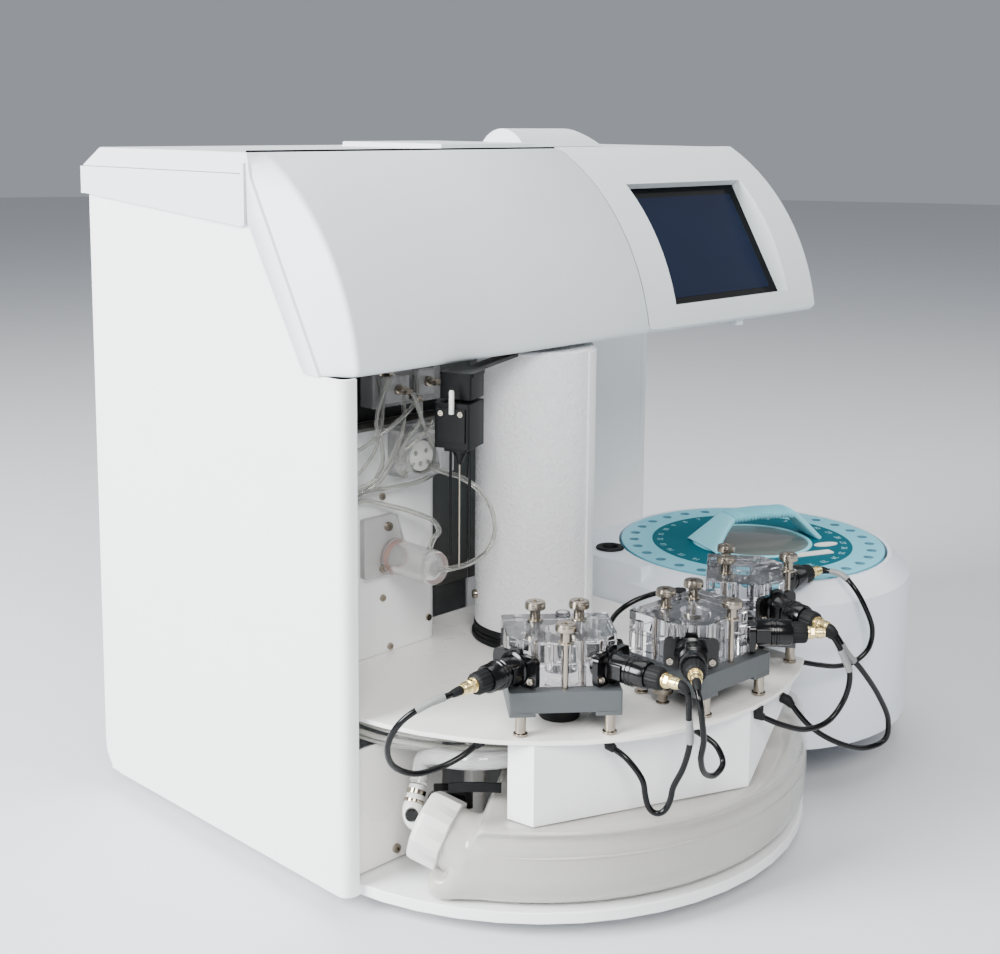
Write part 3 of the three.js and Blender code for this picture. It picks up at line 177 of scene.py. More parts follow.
# Each finish: two tones, a range of roughness, and its grain's size and height in millimetres
finishes = {
    # powder coat on folded steel: satin white with a faint orange peel
    "powderCoatedSteel": {"slot": "white_paint", "colour": "#f8f8f8", "shade": "#f2f3f4",
                          "roughness": (0.34, 0.42), "grain": 1.6, "height": 0.018},
    # the deck's coat is a little warmer and glossier from cleaning
    "deckPowderCoat": {"slot": "white_paint", "colour": "#f2f0ed", "shade": "#eae8e4",
                       "roughness": (0.22, 0.34), "grain": 1.8, "height": 0.012},
    # moulded ABS with a fine spark-eroded grain: cool grey-white, half matt
    "mouldedAbs": {"slot": "cool_white", "colour": "#dde3e6", "shade": "#d5dcdf",
                   "roughness": (0.4, 0.5), "grain": 0.8, "height": 0.02},
    # the turntable's ABS is whiter and smoother
    "glossAbs": {"slot": "cool_white", "colour": "#e8edf5", "shade": "#e1e7f0",
                 "roughness": (0.28, 0.36), "grain": 1.2, "height": 0.008},
    # hammer-finish enamel: close soft dimples break up the light, and a speckle of their own size paints
    # their light and shade
    "hammeredEnamel": {"slot": "white_paint", "colour": "#ffffff", "shade": "#d6d6dc",
                       "roughness": (0.2, 0.34), "patch": 2.6, "grain": 2.6, "height": 1.1},
    # PVC sheet for the module bases: grey, faintly mottled, saw marks polished out
    "greyPvc": {"slot": "module_grey", "colour": "#4c5052", "shade": "#464a4c",
                "roughness": (0.42, 0.52), "grain": 0.9, "height": 0.012},
    # black ABS of the probes: glossy, with a shallow mould grain
    "blackAbs": {"slot": "black_plastic", "colour": "#050506", "shade": "#030304",
                 "roughness": (0.14, 0.24), "grain": 0.8, "height": 0.006,
                 "sockets": {"Specular IOR Level": 0.38}},
    # black anodised aluminium of the sipper: matt
    "blackAnodised": {"slot": "black_metal", "colour": "#040405", "shade": "#070708",
                      "roughness": (0.34, 0.46), "grain": 0.6, "height": 0.01,
                      "sockets": {"Specular IOR Level": 0.22}},
    # moulded rubber: matt black
    "blackRubber": {"slot": "rubber", "colour": "#0e0f10", "shade": "#151617",
                    "roughness": (0.5, 0.65), "grain": 0.7, "height": 0.02,
                    "sockets": {"Specular IOR Level": 0.2}},
    # dark grey enamel of the plate behind the sipper: nearly matt
    "darkEnamel": {"slot": "grey_sheet", "colour": "#4a4a46", "shade": "#3e3f3c",
                   "roughness": (0.45, 0.55), "grain": 1.5, "height": 0.015},
    # extruded PVC cable jacket: smooth, half gloss
    "cableJacket": {"slot": "cable_black", "colour": "#050506", "shade": "#09090a",
                    "roughness": (0.12, 0.18), "grain": 0.5, "height": 0.006,
                    "sockets": {"Specular IOR Level": 0.25}},
    # coated thermal paper: matt, a little warm
    "thermalPaper": {"slot": "paper", "colour": "#f5f4ef", "shade": "#efeee8",
                     "roughness": (0.75, 0.85), "grain": 0.3, "height": 0.01},
    # moulded ABS of the rotor: pale blue, half gloss
    "paleBlueAbs": {"slot": "rotor_blue", "colour": "#7dcbdd", "shade": "#74c3d6",
                    "roughness": (0.3, 0.4), "grain": 1.0, "height": 0.01,
                    "sockets": {"Specular IOR Level": 0.3}},
    # moulded ABS of its handle: a lighter aqua
    "aquaAbs": {"slot": "grip_blue", "colour": "#94dfec", "shade": "#88d6e4",
                "roughness": (0.3, 0.42), "grain": 0.9, "height": 0.015,
                "sockets": {"Specular IOR Level": 0.3}},
    # moulded natural polypropylene: whitish, light passes a little way in
    "naturalPolypropylene": {"slot": "nylon", "colour": "#f0f0ec", "shade": "#e8e8e3",
                             "roughness": (0.32, 0.42), "grain": 1.5, "height": 0.02,
                             "sockets": {"Transmission Weight": 0.3, "IOR": 1.49}},
    # blow-moulded HDPE of the waste tank: milky, greyish, soft gloss
    "milkyHdpe": {"slot": "milky_plastic", "colour": "#ebe9e5", "shade": "#e0ded8",
                  "roughness": (0.2, 0.3), "grain": 9.0, "height": 0.2,
                  "sockets": {"Transmission Weight": 0.6, "IOR": 1.3,
                              "Coat Weight": 0.6, "Coat Roughness": 0.08}},
    # cast acrylic of the chambers: clear and polished
    "castAcrylic": {"slot": "clear_acrylic", "colour": "#f8f7f9", "shade": "#f4f3f6",
                    "roughness": (0.0, 0.02), "grain": 20.0, "height": 0.004,
                    "sockets": {"Transmission Weight": 1.0, "IOR": 1.49}},
    # moulded styrene of the pump and the bubble cylinder: clear, slightly hazy
    "hazyStyrene": {"slot": "clear_acrylic", "colour": "#fafaf9", "shade": "#f3f3f3",
                    "roughness": (0.08, 0.15), "grain": 6.0, "height": 0.02,
                    "sockets": {"Transmission Weight": 0.8, "IOR": 1.48}},
    # soft extruded PVC tube: clear, a little yellow-grey
    "clearPvcTube": {"slot": "clear_hose", "colour": "#f0f0ec", "shade": "#e6e6e1",
                     "roughness": (0.03, 0.08), "grain": 8.0, "height": 0.01,
                     "sockets": {"Transmission Weight": 0.93, "IOR": 1.42}},
    # the drain hose: thick clear PVC, glossy and nearly colourless
    "glossPvcHose": {"slot": "clear_hose", "colour": "#ffffff", "shade": "#f8f8f6",
                     "roughness": (0.02, 0.06), "grain": 8.0, "height": 0.01,
                     "sockets": {"Transmission Weight": 0.78, "IOR": 1.5}},
    # the deck's drain tubes: PVC gone milky grey
    "agedPvcTube": {"slot": "clear_hose", "colour": "#c9c8c1", "shade": "#bdbcb5",
                    "roughness": (0.2, 0.3), "grain": 5.0, "height": 0.02,
                    "sockets": {"Transmission Weight": 0.3, "IOR": 1.45}},
    # liners of the rotor's cups and the ring under them: the rotor's blue darkened as painted shade of the
    # holes
    "cupLinerPaintedShade": {"slot": "rotor_blue", "colour": "#5f93a6", "shade": "#56889b",
                 "roughness": (0.3, 0.4), "grain": 1.0, "height": 0.006},
    # printed label on polyester: white, half gloss
    "whiteLabel": {"slot": "paper", "colour": "#f2f2ee", "shade": "#ebebe6",
                   "roughness": (0.35, 0.45), "grain": 0.6, "height": 0.004},
    # heat-shrink sleeve: milky grey over the black jacket
    "clearSleeve": {"slot": "clear_hose", "colour": "#c8c8c8", "shade": "#bcbcbc",
                    "roughness": (0.25, 0.35), "grain": 1.0, "height": 0.01,
                    "sockets": {"Transmission Weight": 0.6, "IOR": 1.35}},
    # nickel-plated turned steel: warm bright metal
    "nickelPlate": {"slot": "steel", "colour": "#a89f92", "shade": "#978e81",
                    "roughness": (0.12, 0.24), "grain": 1.2, "height": 0.015,
                    "sockets": {"Metallic": 1.0}},
    # gold-flashed turned brass of the connectors
    "goldFlash": {"slot": "steel", "colour": "#eedba6", "shade": "#e4cb8c",
                  "roughness": (0.2, 0.32), "grain": 1.0, "height": 0.015,
                  "sockets": {"Metallic": 1.0}},
    # moulded silicone gasket: orange, soft sheen
    "orangeSilicone": {"slot": "rubber", "colour": "#c26a4a", "shade": "#b25d40",
                       "roughness": (0.4, 0.5), "grain": 1.0, "height": 0.01},
    # coated touch glass: dark navy that hardly mirrors the room
    "touchGlass": {"slot": "screen_glass", "colour": "#0d1a33", "shade": "#0b172d",
                   "roughness": (0.16, 0.22), "grain": 30.0, "height": 0.002,
                   "sockets": {"Specular IOR Level": 0.04}},
    # back-printed border of the touch glass: near black
    "borderGlass": {"slot": "screen_glass", "colour": "#06080c", "shade": "#05070a",
                    "roughness": (0.14, 0.2), "grain": 30.0, "height": 0.002,
                    "sockets": {"Specular IOR Level": 0.05}},
    # printed teal ink on the rotor: matt
    "tealInk": {"slot": "rotor_blue", "colour": "#005f6e", "shade": "#005765",
                "roughness": (0.45, 0.55), "grain": 0.8, "height": 0.004,
                "sockets": {"Specular IOR Level": 0.12}},
    # paler ink of the printed numbers
    "paleTealInk": {"slot": "rotor_blue", "colour": "#8fc6cf", "shade": "#86bec8",
                    "roughness": (0.35, 0.45), "grain": 0.8, "height": 0.004},
    # smoked acrylic window in the middle of the rotor: grey, glossy
    "smokedAcrylic": {"slot": "screen_glass", "colour": "#6c6e69", "shade": "#62645f",
                      "roughness": (0.12, 0.2), "grain": 9.0, "height": 0.01},
    # painted studio floor: pale grey, matt
    "studioFloor": {"slot": "white_paint", "colour": "#d9dbde", "shade": "#d4d6d9",
                    "roughness": (0.5, 0.6), "grain": 4.0, "height": 0.01},
}
materials = {name: finished(name, facts) for name, facts in finishes.items()}
print("materials made:", len(materials))


def makeStage(facts):
    # a wide flat disc under the object; the world gives an even pale grey light
    mesh = bpy.data.meshes.new("studioFloor")
    sides = facts["sides"]
    angles = np.linspace(0, 2 * math.pi, sides, endpoint=False)
    rim = np.stack([np.cos(angles) * facts["radius"], np.sin(angles) * facts["radius"], np.zeros(sides)], -1)
    mesh.from_pydata(rim.tolist(), [], [list(range(sides))])
    floor = bpy.data.objects.new("studioFloor", mesh)
    mesh.materials.append(materials["studioFloor"])
    bpy.context.scene.collection.objects.link(floor)
    world = bpy.data.worlds.new("softStudio")
    world.use_nodes = True
    sky = world.node_tree.nodes["Background"]
    sky.inputs["Color"].default_value = linear(facts["sky"])
    sky.inputs["Strength"].default_value = facts["brightness"]
    bpy.context.scene.world = world


makeStage(stage)
print("stage made")


# Shapes: each is a pair of an array of points in drawing millimetres and a list of faces
def gridFaces(rows, columns, loopRows=False, loopColumns=False):
    # one quad for each cell of a grid of points; a loop joins its last line to its first
    i = np.arange(rows if loopRows else rows - 1)[:, None]
    j = np.arange(columns if loopColumns else columns - 1)[None, :]
    down, nextColumn = (i + 1) % rows * columns, (j + 1) % columns
    cells = [i * columns + j, down + j, down + nextColumn, i * columns + nextColumn]
    return np.stack(np.broadcast_arrays(*cells), -1).reshape(-1, 4).tolist()


def capped(rings, start, end):
    # rings of points joined to a skin; a fan from start closes the first, and one from end the last
    rows, columns = rings.shape[:2]
    points = np.concatenate([rings.reshape(-1, 3), [start], [end]])
    count, last = rows * columns, (rows - 1) * columns
    faces = gridFaces(rows, columns, False, True)
    faces += [[count, (j + 1) % columns, j] for j in range(columns)]
    faces += [[count + 1, last + j, last + (j + 1) % columns] for j in range(columns)]
    return points, faces


def combine(*shapes):
    # the points one after another, and each shape's faces counted on from the ones before
    points, faces, start = [], [], 0
    for pts, fcs in shapes:
        points.append(np.asarray(pts, float))
        faces += [[v + start for v in f] for f in fcs]
        start += len(pts)
    return np.concatenate(points), faces


def shifted(shape, step):
    # moved by step
    return np.asarray(shape[0]) + np.asarray(step, float), shape[1]


def spun(shape, degrees, centre=(0, 0)):
    # turned about a vertical line through centre
    a = math.radians(degrees)
    matrix = np.array([[math.cos(a), math.sin(a), 0], [-math.sin(a), math.cos(a), 0], [0, 0, 1]])
    middle = np.array([*centre, 0.0])
    return (np.asarray(shape[0]) - middle) @ matrix + middle, shape[1]


def unit(vector):
    # the same way, one long
    v = np.asarray(vector, float)
    return v / np.linalg.norm(v)


def frameOf(axis):
    # three unit rows: two across the axis and the axis itself; the first lies level where it can
    w = unit(axis)
    helper = np.array([1.0, 0, 0]) if abs(w[2]) > 0.99 else np.array([0, 0, 1.0])
    u = unit(np.cross(helper, w))
    return np.stack([u, np.cross(w, u), w])


def aimed(shape, spot, axis):
    # the shape's own z is laid along axis, and its origin at spot
    return np.asarray(shape[0]) @ frameOf(axis) + np.asarray(spot, float), shape[1]


def lathe(profile, steps=96, ring=False):
    # a profile of radius and height carried round z; a ring's profile is a closed loop
    p = np.asarray(profile, float)
    a = np.linspace(0, 2 * math.pi, steps, endpoint=False)[:, None]
    heights = np.broadcast_to(p[:, 1], (steps, len(p)))
    points = np.stack([p[:, 0] * np.cos(a), p[:, 0] * np.sin(a), heights], -1)
    return points.reshape(-1, 3), gridFaces(steps, len(p), True, ring)


def arcPoints(cx, cy, radius, start, stop, steps):
    # points at equal steps on an arc: the centre plus radius times cosine and sine
    a = np.radians(np.linspace(start, stop, steps + 1))
    return np.stack([cx + radius * np.cos(a), cy + radius * np.sin(a)], -1)


def circle(x, y, radius, steps=24):
    # points at equal steps on a whole circle
    return arcPoints(x, y, radius, 0, 360, steps)[:-1]


def bend(before, corner, after, steps):
    # a quadratic curve that leaves before towards the corner and reaches after from it
    t = np.linspace(0, 1, steps + 1)[:, None]
    return (1 - t) ** 2 * before + 2 * t * (1 - t) * corner + t ** 2 * after


def softened(points, radius, steps=5):
    # every corner of a closed flat outline becomes a curve that starts and ends radius away from it
    p = np.asarray(points, float)
    radii = np.broadcast_to(np.asarray(radius, float), len(p))
    sides = zip(np.roll(p, 1, 0), p, np.roll(p, -1, 0), radii)
    return np.concatenate([bend(here + unit(before - here) * r, here, here + unit(after - here) * r, steps)
                           for before, here, after, r in sides])


def rectangle(x0, x1, y0, y1):
    # the four corners, anticlockwise
    return [(x0, y0), (x1, y0), (x1, y1), (x0, y1)]


def slab(edge, low, high, holes=()):
    # an outline in x and y raised from low to high, with holes through it
    loops = [np.asarray(edge, float), *(np.asarray(h, float) for h in holes)]
    flat = np.concatenate(loops)
    count = len(flat)
    triangles = tessellate_polygon([[Vector((x, y, 0)) for x, y in loop] for loop in loops])
    points = np.concatenate([np.c_[flat, np.full(count, low)], np.c_[flat, np.full(count, high)]])
    faces = [list(t) for t in triangles] + [[v + count for v in t[::-1]] for t in triangles]
    start = 0
    for loop in loops:
        ahead = [start + (i + 1) % len(loop) for i in range(len(loop))]
        faces += [[start + i, j, j + count, start + i + count] for i, j in enumerate(ahead)]
        start += len(loop)
    return points, faces


def alongX(edge, x0, x1, holes=()):
    # an outline in y and z, carried from x0 to x1
    points, faces = slab(edge, x0, x1, holes)
    return points[:, [2, 0, 1]], faces


def alongY(edge, y0, y1, holes=()):
    # an outline in x and z, carried from y0 to y1
    points, faces = slab(edge, y0, y1, holes)
    return points[:, [0, 2, 1]], faces


def rod(radius, low, high):
    # the profile of a plain round bar
    return [(0, low), (radius, low), (radius, high), (0, high)]


def box(x0, x1, y0, y1, z0, z1):
    # a rectangle in x and y raised from z0 to z1
    return slab(rectangle(x0, x1, y0, y1), z0, z1)


def roundedBlock(sides, radius, low, high):
    # a rectangle with softened corners, raised from low to high
    return slab(softened(rectangle(*sides), radius), low, high)


def curveThrough(points, spacing):
    # centripetal Catmull-Rom: each span is a cubic whose knots lie apart by the root of the points' distance
    p = np.asarray(points, float)
    p = np.concatenate([[2 * p[0] - p[1]], p, [2 * p[-1] - p[-2]]])
    out = []
    for a, b, c, d in zip(p[:-3], p[1:-2], p[2:-1], p[3:]):
        k0, k1, k2 = (max(np.linalg.norm(v - u) ** 0.5, 1e-4) for u, v in ((a, b), (b, c), (c, d)))
        m1 = ((b - a) / k0 - (c - a) / (k0 + k1) + (c - b) / k1) * k1
        m2 = ((c - b) / k1 - (d - b) / (k1 + k2) + (d - c) / k2) * k1
        steps = max(2, int(np.ceil(np.linalg.norm(c - b) / spacing)))
        t = np.linspace(0, 1, steps, endpoint=False)[:, None]
        out.append(b + m1 * t + (3 * (c - b) - 2 * m1 - m2) * t ** 2 + (2 * (b - c) + m1 + m2) * t ** 3)
    return np.concatenate([*out, p[-2:-1]])


def tube(path, radius, sides=16):
    # a circle carried along a path without twist, closed at both ends; the radius may change along it
    p = np.asarray(path, float)
    radii = np.broadcast_to(np.asarray(radius, float), len(p))[:, None, None]
    tangents = np.gradient(p, axis=0)
    tangents /= np.linalg.norm(tangents, axis=1)[:, None]
    across = np.zeros_like(p)
    across[0] = frameOf(tangents[0])[0]
    for i in range(1, len(p)):
        across[i] = unit(across[i - 1] - tangents[i] * (across[i - 1] @ tangents[i]))
    third = np.cross(tangents, across)
    a = np.linspace(0, 2 * math.pi, sides, endpoint=False)[:, None]
    rings = p[:, None] + radii * (across[:, None] * np.cos(a) + third[:, None] * np.sin(a))
    return capped(rings, p[0], p[-1])


# How meshes are joined and rounded: gaps and slivers in metres, angles in degrees, lip's band in millimetres
joining = {"weld": 2e-6, "sliver": 1e-7, "flatAngle": 0.4, "edgeAngle": 30, "lipBand": 0.05, "lipSteps": 6}


def welded(points, faces, inMetres=False):
    # a bmesh whose doubles are merged and whose faces point outwards, and the mesh that will hold it
    work = bmesh.new()
    mesh = bpy.data.meshes.new("draft")
    mesh.from_pydata((points if inMetres else place(points)).tolist(), [], faces)
    work.from_mesh(mesh)
    bmesh.ops.remove_doubles(work, verts=work.verts, dist=joining["weld"])
    bmesh.ops.dissolve_degenerate(work, edges=work.edges, dist=joining["sliver"])
    bmesh.ops.recalc_face_normals(work, faces=work.faces)
    return work, mesh


def addCavities(mesh, cavities):
    # the hollows inside a clear piece, turned inside out
    inner, draft = welded(*cavities)
    bmesh.ops.reverse_faces(inner, faces=inner.faces)
    inner.to_mesh(draft)
    inner.free()
    both = bmesh.new()
    both.from_mesh(mesh)
    both.from_mesh(draft)
    both.to_mesh(mesh)
    both.free()


def makePiece(name, shape, finish, body, standsFor=(), smooth=35, bevel=0, segments=3, cavities=None,
              inMetres=False):
    # welds the points, rounds the edges, gives the finish and rides the piece on its body
    work, mesh = welded(*shape, inMetres)
    work.to_mesh(mesh)
    work.free()
    if cavities is not None:
        addCavities(mesh, cavities)
    mesh.name = name
    mesh.materials.append(materials[finish])
    mesh.shade_smooth()
    mesh.set_sharp_from_angle(angle=math.radians(smooth))
    piece = bpy.data.objects.new(name, mesh)
    bpy.context.scene.collection.objects.link(piece)
    if bevel:
        rounding = piece.modifiers.new("rounding", "BEVEL")
        rounding.width = bevel * millimetre
        rounding.segments = segments
        rounding.limit_method = "ANGLE"
        rounding.angle_limit = math.radians(joining["edgeAngle"])
        rounding.harden_normals = True
        rounding.use_clamp_overlap = True
    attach(piece, body)
    if standsFor:
        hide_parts(*standsFor)
    return piece


def dressed(node, finish, body="cabinet", bevel=0.5, lip=0):
    # a copy of a CAD node: triangles merged, flat ones joined; lip is a large round on its foremost edge
    work = bmesh.new()
    work.from_mesh(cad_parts[node].data)
    bmesh.ops.remove_doubles(work, verts=work.verts, dist=joining["weld"])
    bmesh.ops.dissolve_limit(work, angle_limit=math.radians(joining["flatAngle"]), verts=work.verts,
                             edges=work.edges)
    if lip:
        front = min(v.co.y for v in work.verts) + joining["lipBand"] * millimetre
        foremost = [e for e in work.edges if all(v.co.y < front for v in e.verts)]
        bmesh.ops.bevel(work, geom=foremost, offset=lip * millimetre, segments=joining["lipSteps"],
                        profile=0.5, affect="EDGES")
    points = np.array([v.co for v in work.verts])
    faces = [[v.index for v in f.verts] for f in work.faces]
    work.free()
    return makePiece(node + "_finished", (points, faces), finish, body, (node,), bevel=bevel, segments=2,
                     inMetres=True)


# Cords: the probes' cables, along the CAD routes; a label covers from and to millimetres from the exit
cords = {
    "cable_left_a": {"length": 0.155, "label": (14, 33), "route": [
        (27.2, -80.2, 173.4), (17, -79, 172), (2, -73, 168), (-9, -64, 158), (-12, -56, 144), (-7, -50, 130),
        (3, -47, 119), (17, -49, 112), (32, -54, 113), (45, -60, 118), (56, -66, 126.5)]},
    "cable_left_b": {"length": 0.1535, "label": (27, 45), "route": [
        (127.7, -166.2, 173.4), (128, -169.2, 173.3), (129.2, -173, 169.5), (130, -174, 164),
        (131, -173.5, 152), (135.5, -171.5, 135), (135.5, -167, 117), (133, -161, 102), (132.2, -160, 95),
        (130.9, -158.4, 89.2), (129.1, -156.2, 85.6), (127, -153.5, 84.5), (125, -151, 85.8),
        (123.3, -148.9, 89.6), (122.2, -147.6, 96), (121, -146, 106), (116, -137, 119), (113, -125, 125)]},
    "cable_middle_a": {"length": 0.135, "route": [
        (140.6, -171.2, 173.4), (138.3, -173.1, 173.3), (134.8, -177, 169), (133, -180, 165),
        (133, -182, 153), (138, -180, 137), (141, -176, 123), (150, -173, 110), (162, -172, 105),
        (173, -170, 109), (173, -164, 119), (170, -152, 125), (171, -144, 126)]},
    "cable_middle_b": {"length": 0.1447, "label": (20, 38), "route": [
        (272.7, -176.9, 173.4), (275.5, -179.8, 173.2), (279, -183, 169.5), (285, -187, 157),
        (291.5, -189, 142), (292.5, -185, 123), (282, -180, 109), (262, -175, 107), (240, -169, 115),
        (224, -161, 124)]},
    "cable_right_a": {"length": 0.2182, "label": (16, 33), "into": (273.0, -146.0, 119.0), "route": [
        (286, -173.1, 173.4), (285.5, -176, 173.3), (286.5, -181, 168), (291, -186, 157), (304, -190, 143),
        (327, -192, 117), (343, -191, 94), (345, -188, 79), (331, -182, 75), (305, -174, 84),
        (285, -163, 99), (275, -151, 117)]},
    "cable_right_b": {"length": 0.2007, "label": (12, 28), "route": [
        (393.6, -96.2, 173.4), (399, -97.2, 172.9), (402, -112, 172), (401, -124, 165), (404, -133, 150),
        (409, -137, 132), (406, -136, 118), (396, -131, 109), (380, -126, 108), (360, -122, 113),
        (340, -114, 119), (322, -104, 123), (306, -96, 125)]},
    "sensor_cable": {"length": 0.0857, "gland": False, "route": [
        (282, -54, 172), (272, -47, 173), (258, -41, 172), (244, -33, 167), (235, -26, 158), (231, -23, 147),
        (234, -25, 138), (237, -27, 135.5)]},
}
cable = {"radius": 2.0, "sides": 16, "spacing": 1.5, "sleeve": 0.5, "underDeck": 130.2,
         "boot": 9.0, "bootShares": (0, 0.12, 0.75, 1), "bootRadii": (2.5, 3.0, 2.8, 2.25),
         "glandRadii": (2.6, 3.6, 3.6, 3.6), "glandSides": 24}


def alongPath(path, start, stop):
    # the part of a path between two distances from its beginning
    reach = np.concatenate([[0], np.cumsum(np.linalg.norm(np.diff(path, axis=0), axis=1))])
    wanted = np.linspace(start, stop, max(4, int((stop - start) / cable["spacing"])))
    return np.stack([np.interp(wanted, reach, path[:, k]) for k in range(3)], -1)


def makeCable(name, facts):
    # the jacket, the boot where it leaves its plug, a blank label sleeve and the gland that it goes into
    path = curveThrough(facts["route"], cable["spacing"])
    jacket = makePiece("jacket_" + name, tube(path, cable["radius"], cable["sides"]), "cableJacket",
                       "cabinet", (name,))
    boot = alongPath(path, 0.0, cable["boot"])
    swell = np.interp(np.linspace(0, 1, len(boot)), cable["bootShares"], cable["bootRadii"])
    onIt = [makePiece("boot_" + name, tube(boot, swell), "blackRubber", "cabinet")]
    if "label" in facts:
        sleeve = tube(alongPath(path, *facts["label"]), cable["radius"] + cable["sleeve"])
        onIt.append(makePiece("label_" + name, sleeve, "clearSleeve", "cabinet"))
    if facts.get("gland", True):
        foot = path[-1]
        into = np.array(facts.get("into", (foot[0], foot[1], cable["underDeck"])))
        gland = tube([path[-4], foot, (foot + into) / 2, into], cable["glandRadii"], cable["glandSides"])
        makePiece("gland_" + name, gland, "blackRubber", "cabinet")


for name, facts in cords.items():
    makeCable(name, facts)

drainHose = {"outer": 6.0, "bore": 4.4, "sides": 32, "spacing": 2.0, "length": 0.145, "route": [
    (50.33, -13.85, 82.48), (54.4, -12.05, 88.39), (56, -13, 98), (55, -26, 105), (53, -46, 109),
    (58, -62, 112), (71, -71, 112), (88, -79, 112), (108, -88, 112), (125, -95, 112)]}


def makeDrainHose(facts):
    # a clear hose with its bore, from the tank's elbow into the deck's skirt
    path = curveThrough(facts["route"], facts["spacing"])
    hose = makePiece("hose_to_tank", tube(path, facts["outer"], facts["sides"]), "glossPvcHose", "cabinet",
                     ("drain_hose",), cavities=tube(path[1:-1], facts["bore"], facts["sides"]))


makeDrainHose(drainHose)
print("cords laid:", len(cords) + 1)

# CAD nodes kept in shape, with rounded edges: node, finish, body, edge radius and lip in millimetres
keptShapes = [
    ("base_plate", "powderCoatedSteel", "cabinet", 1.0),
    ("left_side_panel", "powderCoatedSteel", "cabinet", 0.6),
    ("right_side_panel", "powderCoatedSteel", "cabinet", 0.6),
    ("rear_panel", "powderCoatedSteel", "cabinet", 0.4),
    ("recess_liner", "powderCoatedSteel", "cabinet", 0.3),
    ("sipper_back_plate", "darkEnamel", "cabinet", 0.3),
    ("valve_panel", "powderCoatedSteel", "cabinet", 0.3),
    ("trim_band", "mouldedAbs", "cabinet", 0.8),
    ("top_cover", "mouldedAbs", "cabinet", 1.2),
    ("hood_hinge", "blackAnodised", "cabinet", 0.2),
    ("printer_tray", "blackAbs", "cabinet", 0.3),
    ("deck_plate", "deckPowderCoat", "cabinet", 0.8),
    ("deck_skirt", "powderCoatedSteel", "cabinet", 0.3),
    ("power_entry", "blackAbs", "cabinet", 0.4),
    ("power_rocker", "blackAbs", "power_rocker", 0.5),
    ("paper_roll", "thermalPaper", "paper_roll", 0.3),
    ("printer_cover", "mouldedAbs", "printer_cover", 0.9),
    ("display_housing", "mouldedAbs", "cabinet", 2.0, 5.0),
    ("touch_screen", "borderGlass", "cabinet", 0.4),
    ("pump_housing", "hazyStyrene", "cabinet", 0.5),
    ("turntable_housing", "glossAbs", "cabinet", 0.8),
]
for keptShape in keptShapes:
    dressed(*keptShape)
print("kept shapes:", len(keptShapes))

# The lid's left and rear sides lean inwards above the band: upper points near them step in
lid = {"near": 6.0, "left": 8.0, "rear": 6.0, "upperShare": 0.5}


def leanLid(facts):
    # every upper point within near of the left or the rear side steps in
    mesh = bpy.data.objects["top_cover_finished"].data
    points = np.empty(len(mesh.vertices) * 3)
    mesh.vertices.foreach_get("co", points)
    points = inDrawing(points.reshape(-1, 3))
    lowest, highest = points.min(0), points.max(0)
    upper = points[:, 2] > lowest[2] + facts["upperShare"] * (highest[2] - lowest[2])
    points[upper & (points[:, 0] < lowest[0] + facts["near"]), 0] += facts["left"]
    points[upper & (points[:, 1] > highest[1] - facts["near"]), 1] -= facts["rear"]
    mesh.vertices.foreach_set("co", place(points).ravel())
    mesh.update()


leanLid(lid)
print("lid leaned in")

# The lifting hood: one skin over a front curve, a leaning cheek at the left and a stepped strip behind it
hood = {
    "left": -2.2, "right": 298.0, "back": 93.8, "bottom": 357.3, "top": 495.0, "skin": 3.0,
    "lip": 16.0, "lipSteps": 6,
    "arcY": 179.3, "arcZ": 334.2, "arcRadius": 183.0, "arcFrom": 170.7, "arcTo": 118.6, "arcSteps": 40,
    "stepBend": 479, "stepLine": (21.2, 90.2, 92.6),           # y at the bottom, the bend and the top
    "rearBend": 449.9, "rearLine": (36.0, 92.6, 93.8),
    "strip": ((0, 0.4), (0.25, -0.2), (2.3, -0.9)),            # x from the left and y from the step's line
    "crease": 11.4, "creaseRound": 3.2, "creaseSteps": 6, "cheekShare": 1.2,
    "stations": (60.0, 160.0), "endRound": 0.9, "endNip": 0.25,
    "wallFrom": 3.2, "wallTo": 0.8, "wallShare": 0.975, "wallCut": (60, 372),
    "pinRadius": 2.3, "pinLength": 16, "pinX": (84.0, 206.0), "pinY": 95.9, "pinZ": 492.5,
    # a black strip in the seam between the hood and the display housing is painted shadow of the gap
    "seamFrom": 298.05, "seamTo": 298.75, "seamOuter": 182.3, "seamInner": 178.0,
    # the band's front end closes the side of the slot behind the hood, and the rib its rear
    "bandEnd": (-2.9, 2.4, 95.4, 99.0, 447.2, 488.0), "lidRib": (2.4, 298.5, 98.4, 99.4, 478.0, 496.2),
}


def hoodArc(radius, start, stop):
    # the hood's long front arc in y and z, at a radius
    return arcPoints(hood["arcY"], hood["arcZ"], radius, start, stop, hood["arcSteps"])


def frontCurve():
    # the front of the hood in y and z: a flat lip, a round that runs on from the arc, then one long arc
    arc = hoodArc(hood["arcRadius"], hood["arcFrom"], hood["arcTo"])
    fall = arc[0][1] - hood["bottom"]
    lean = fall * math.tan(math.radians(180 - hood["arcFrom"]))
    corner = np.array([arc[0][0] - lean, hood["bottom"]])
    lip = bend(corner + np.array([fall, 0]), corner, arc[0], hood["lipSteps"])[:-1]
    return np.concatenate([[(corner[0] + hood["lip"], hood["bottom"])], lip, arc,
                           [(hood["back"], hood["top"])]])


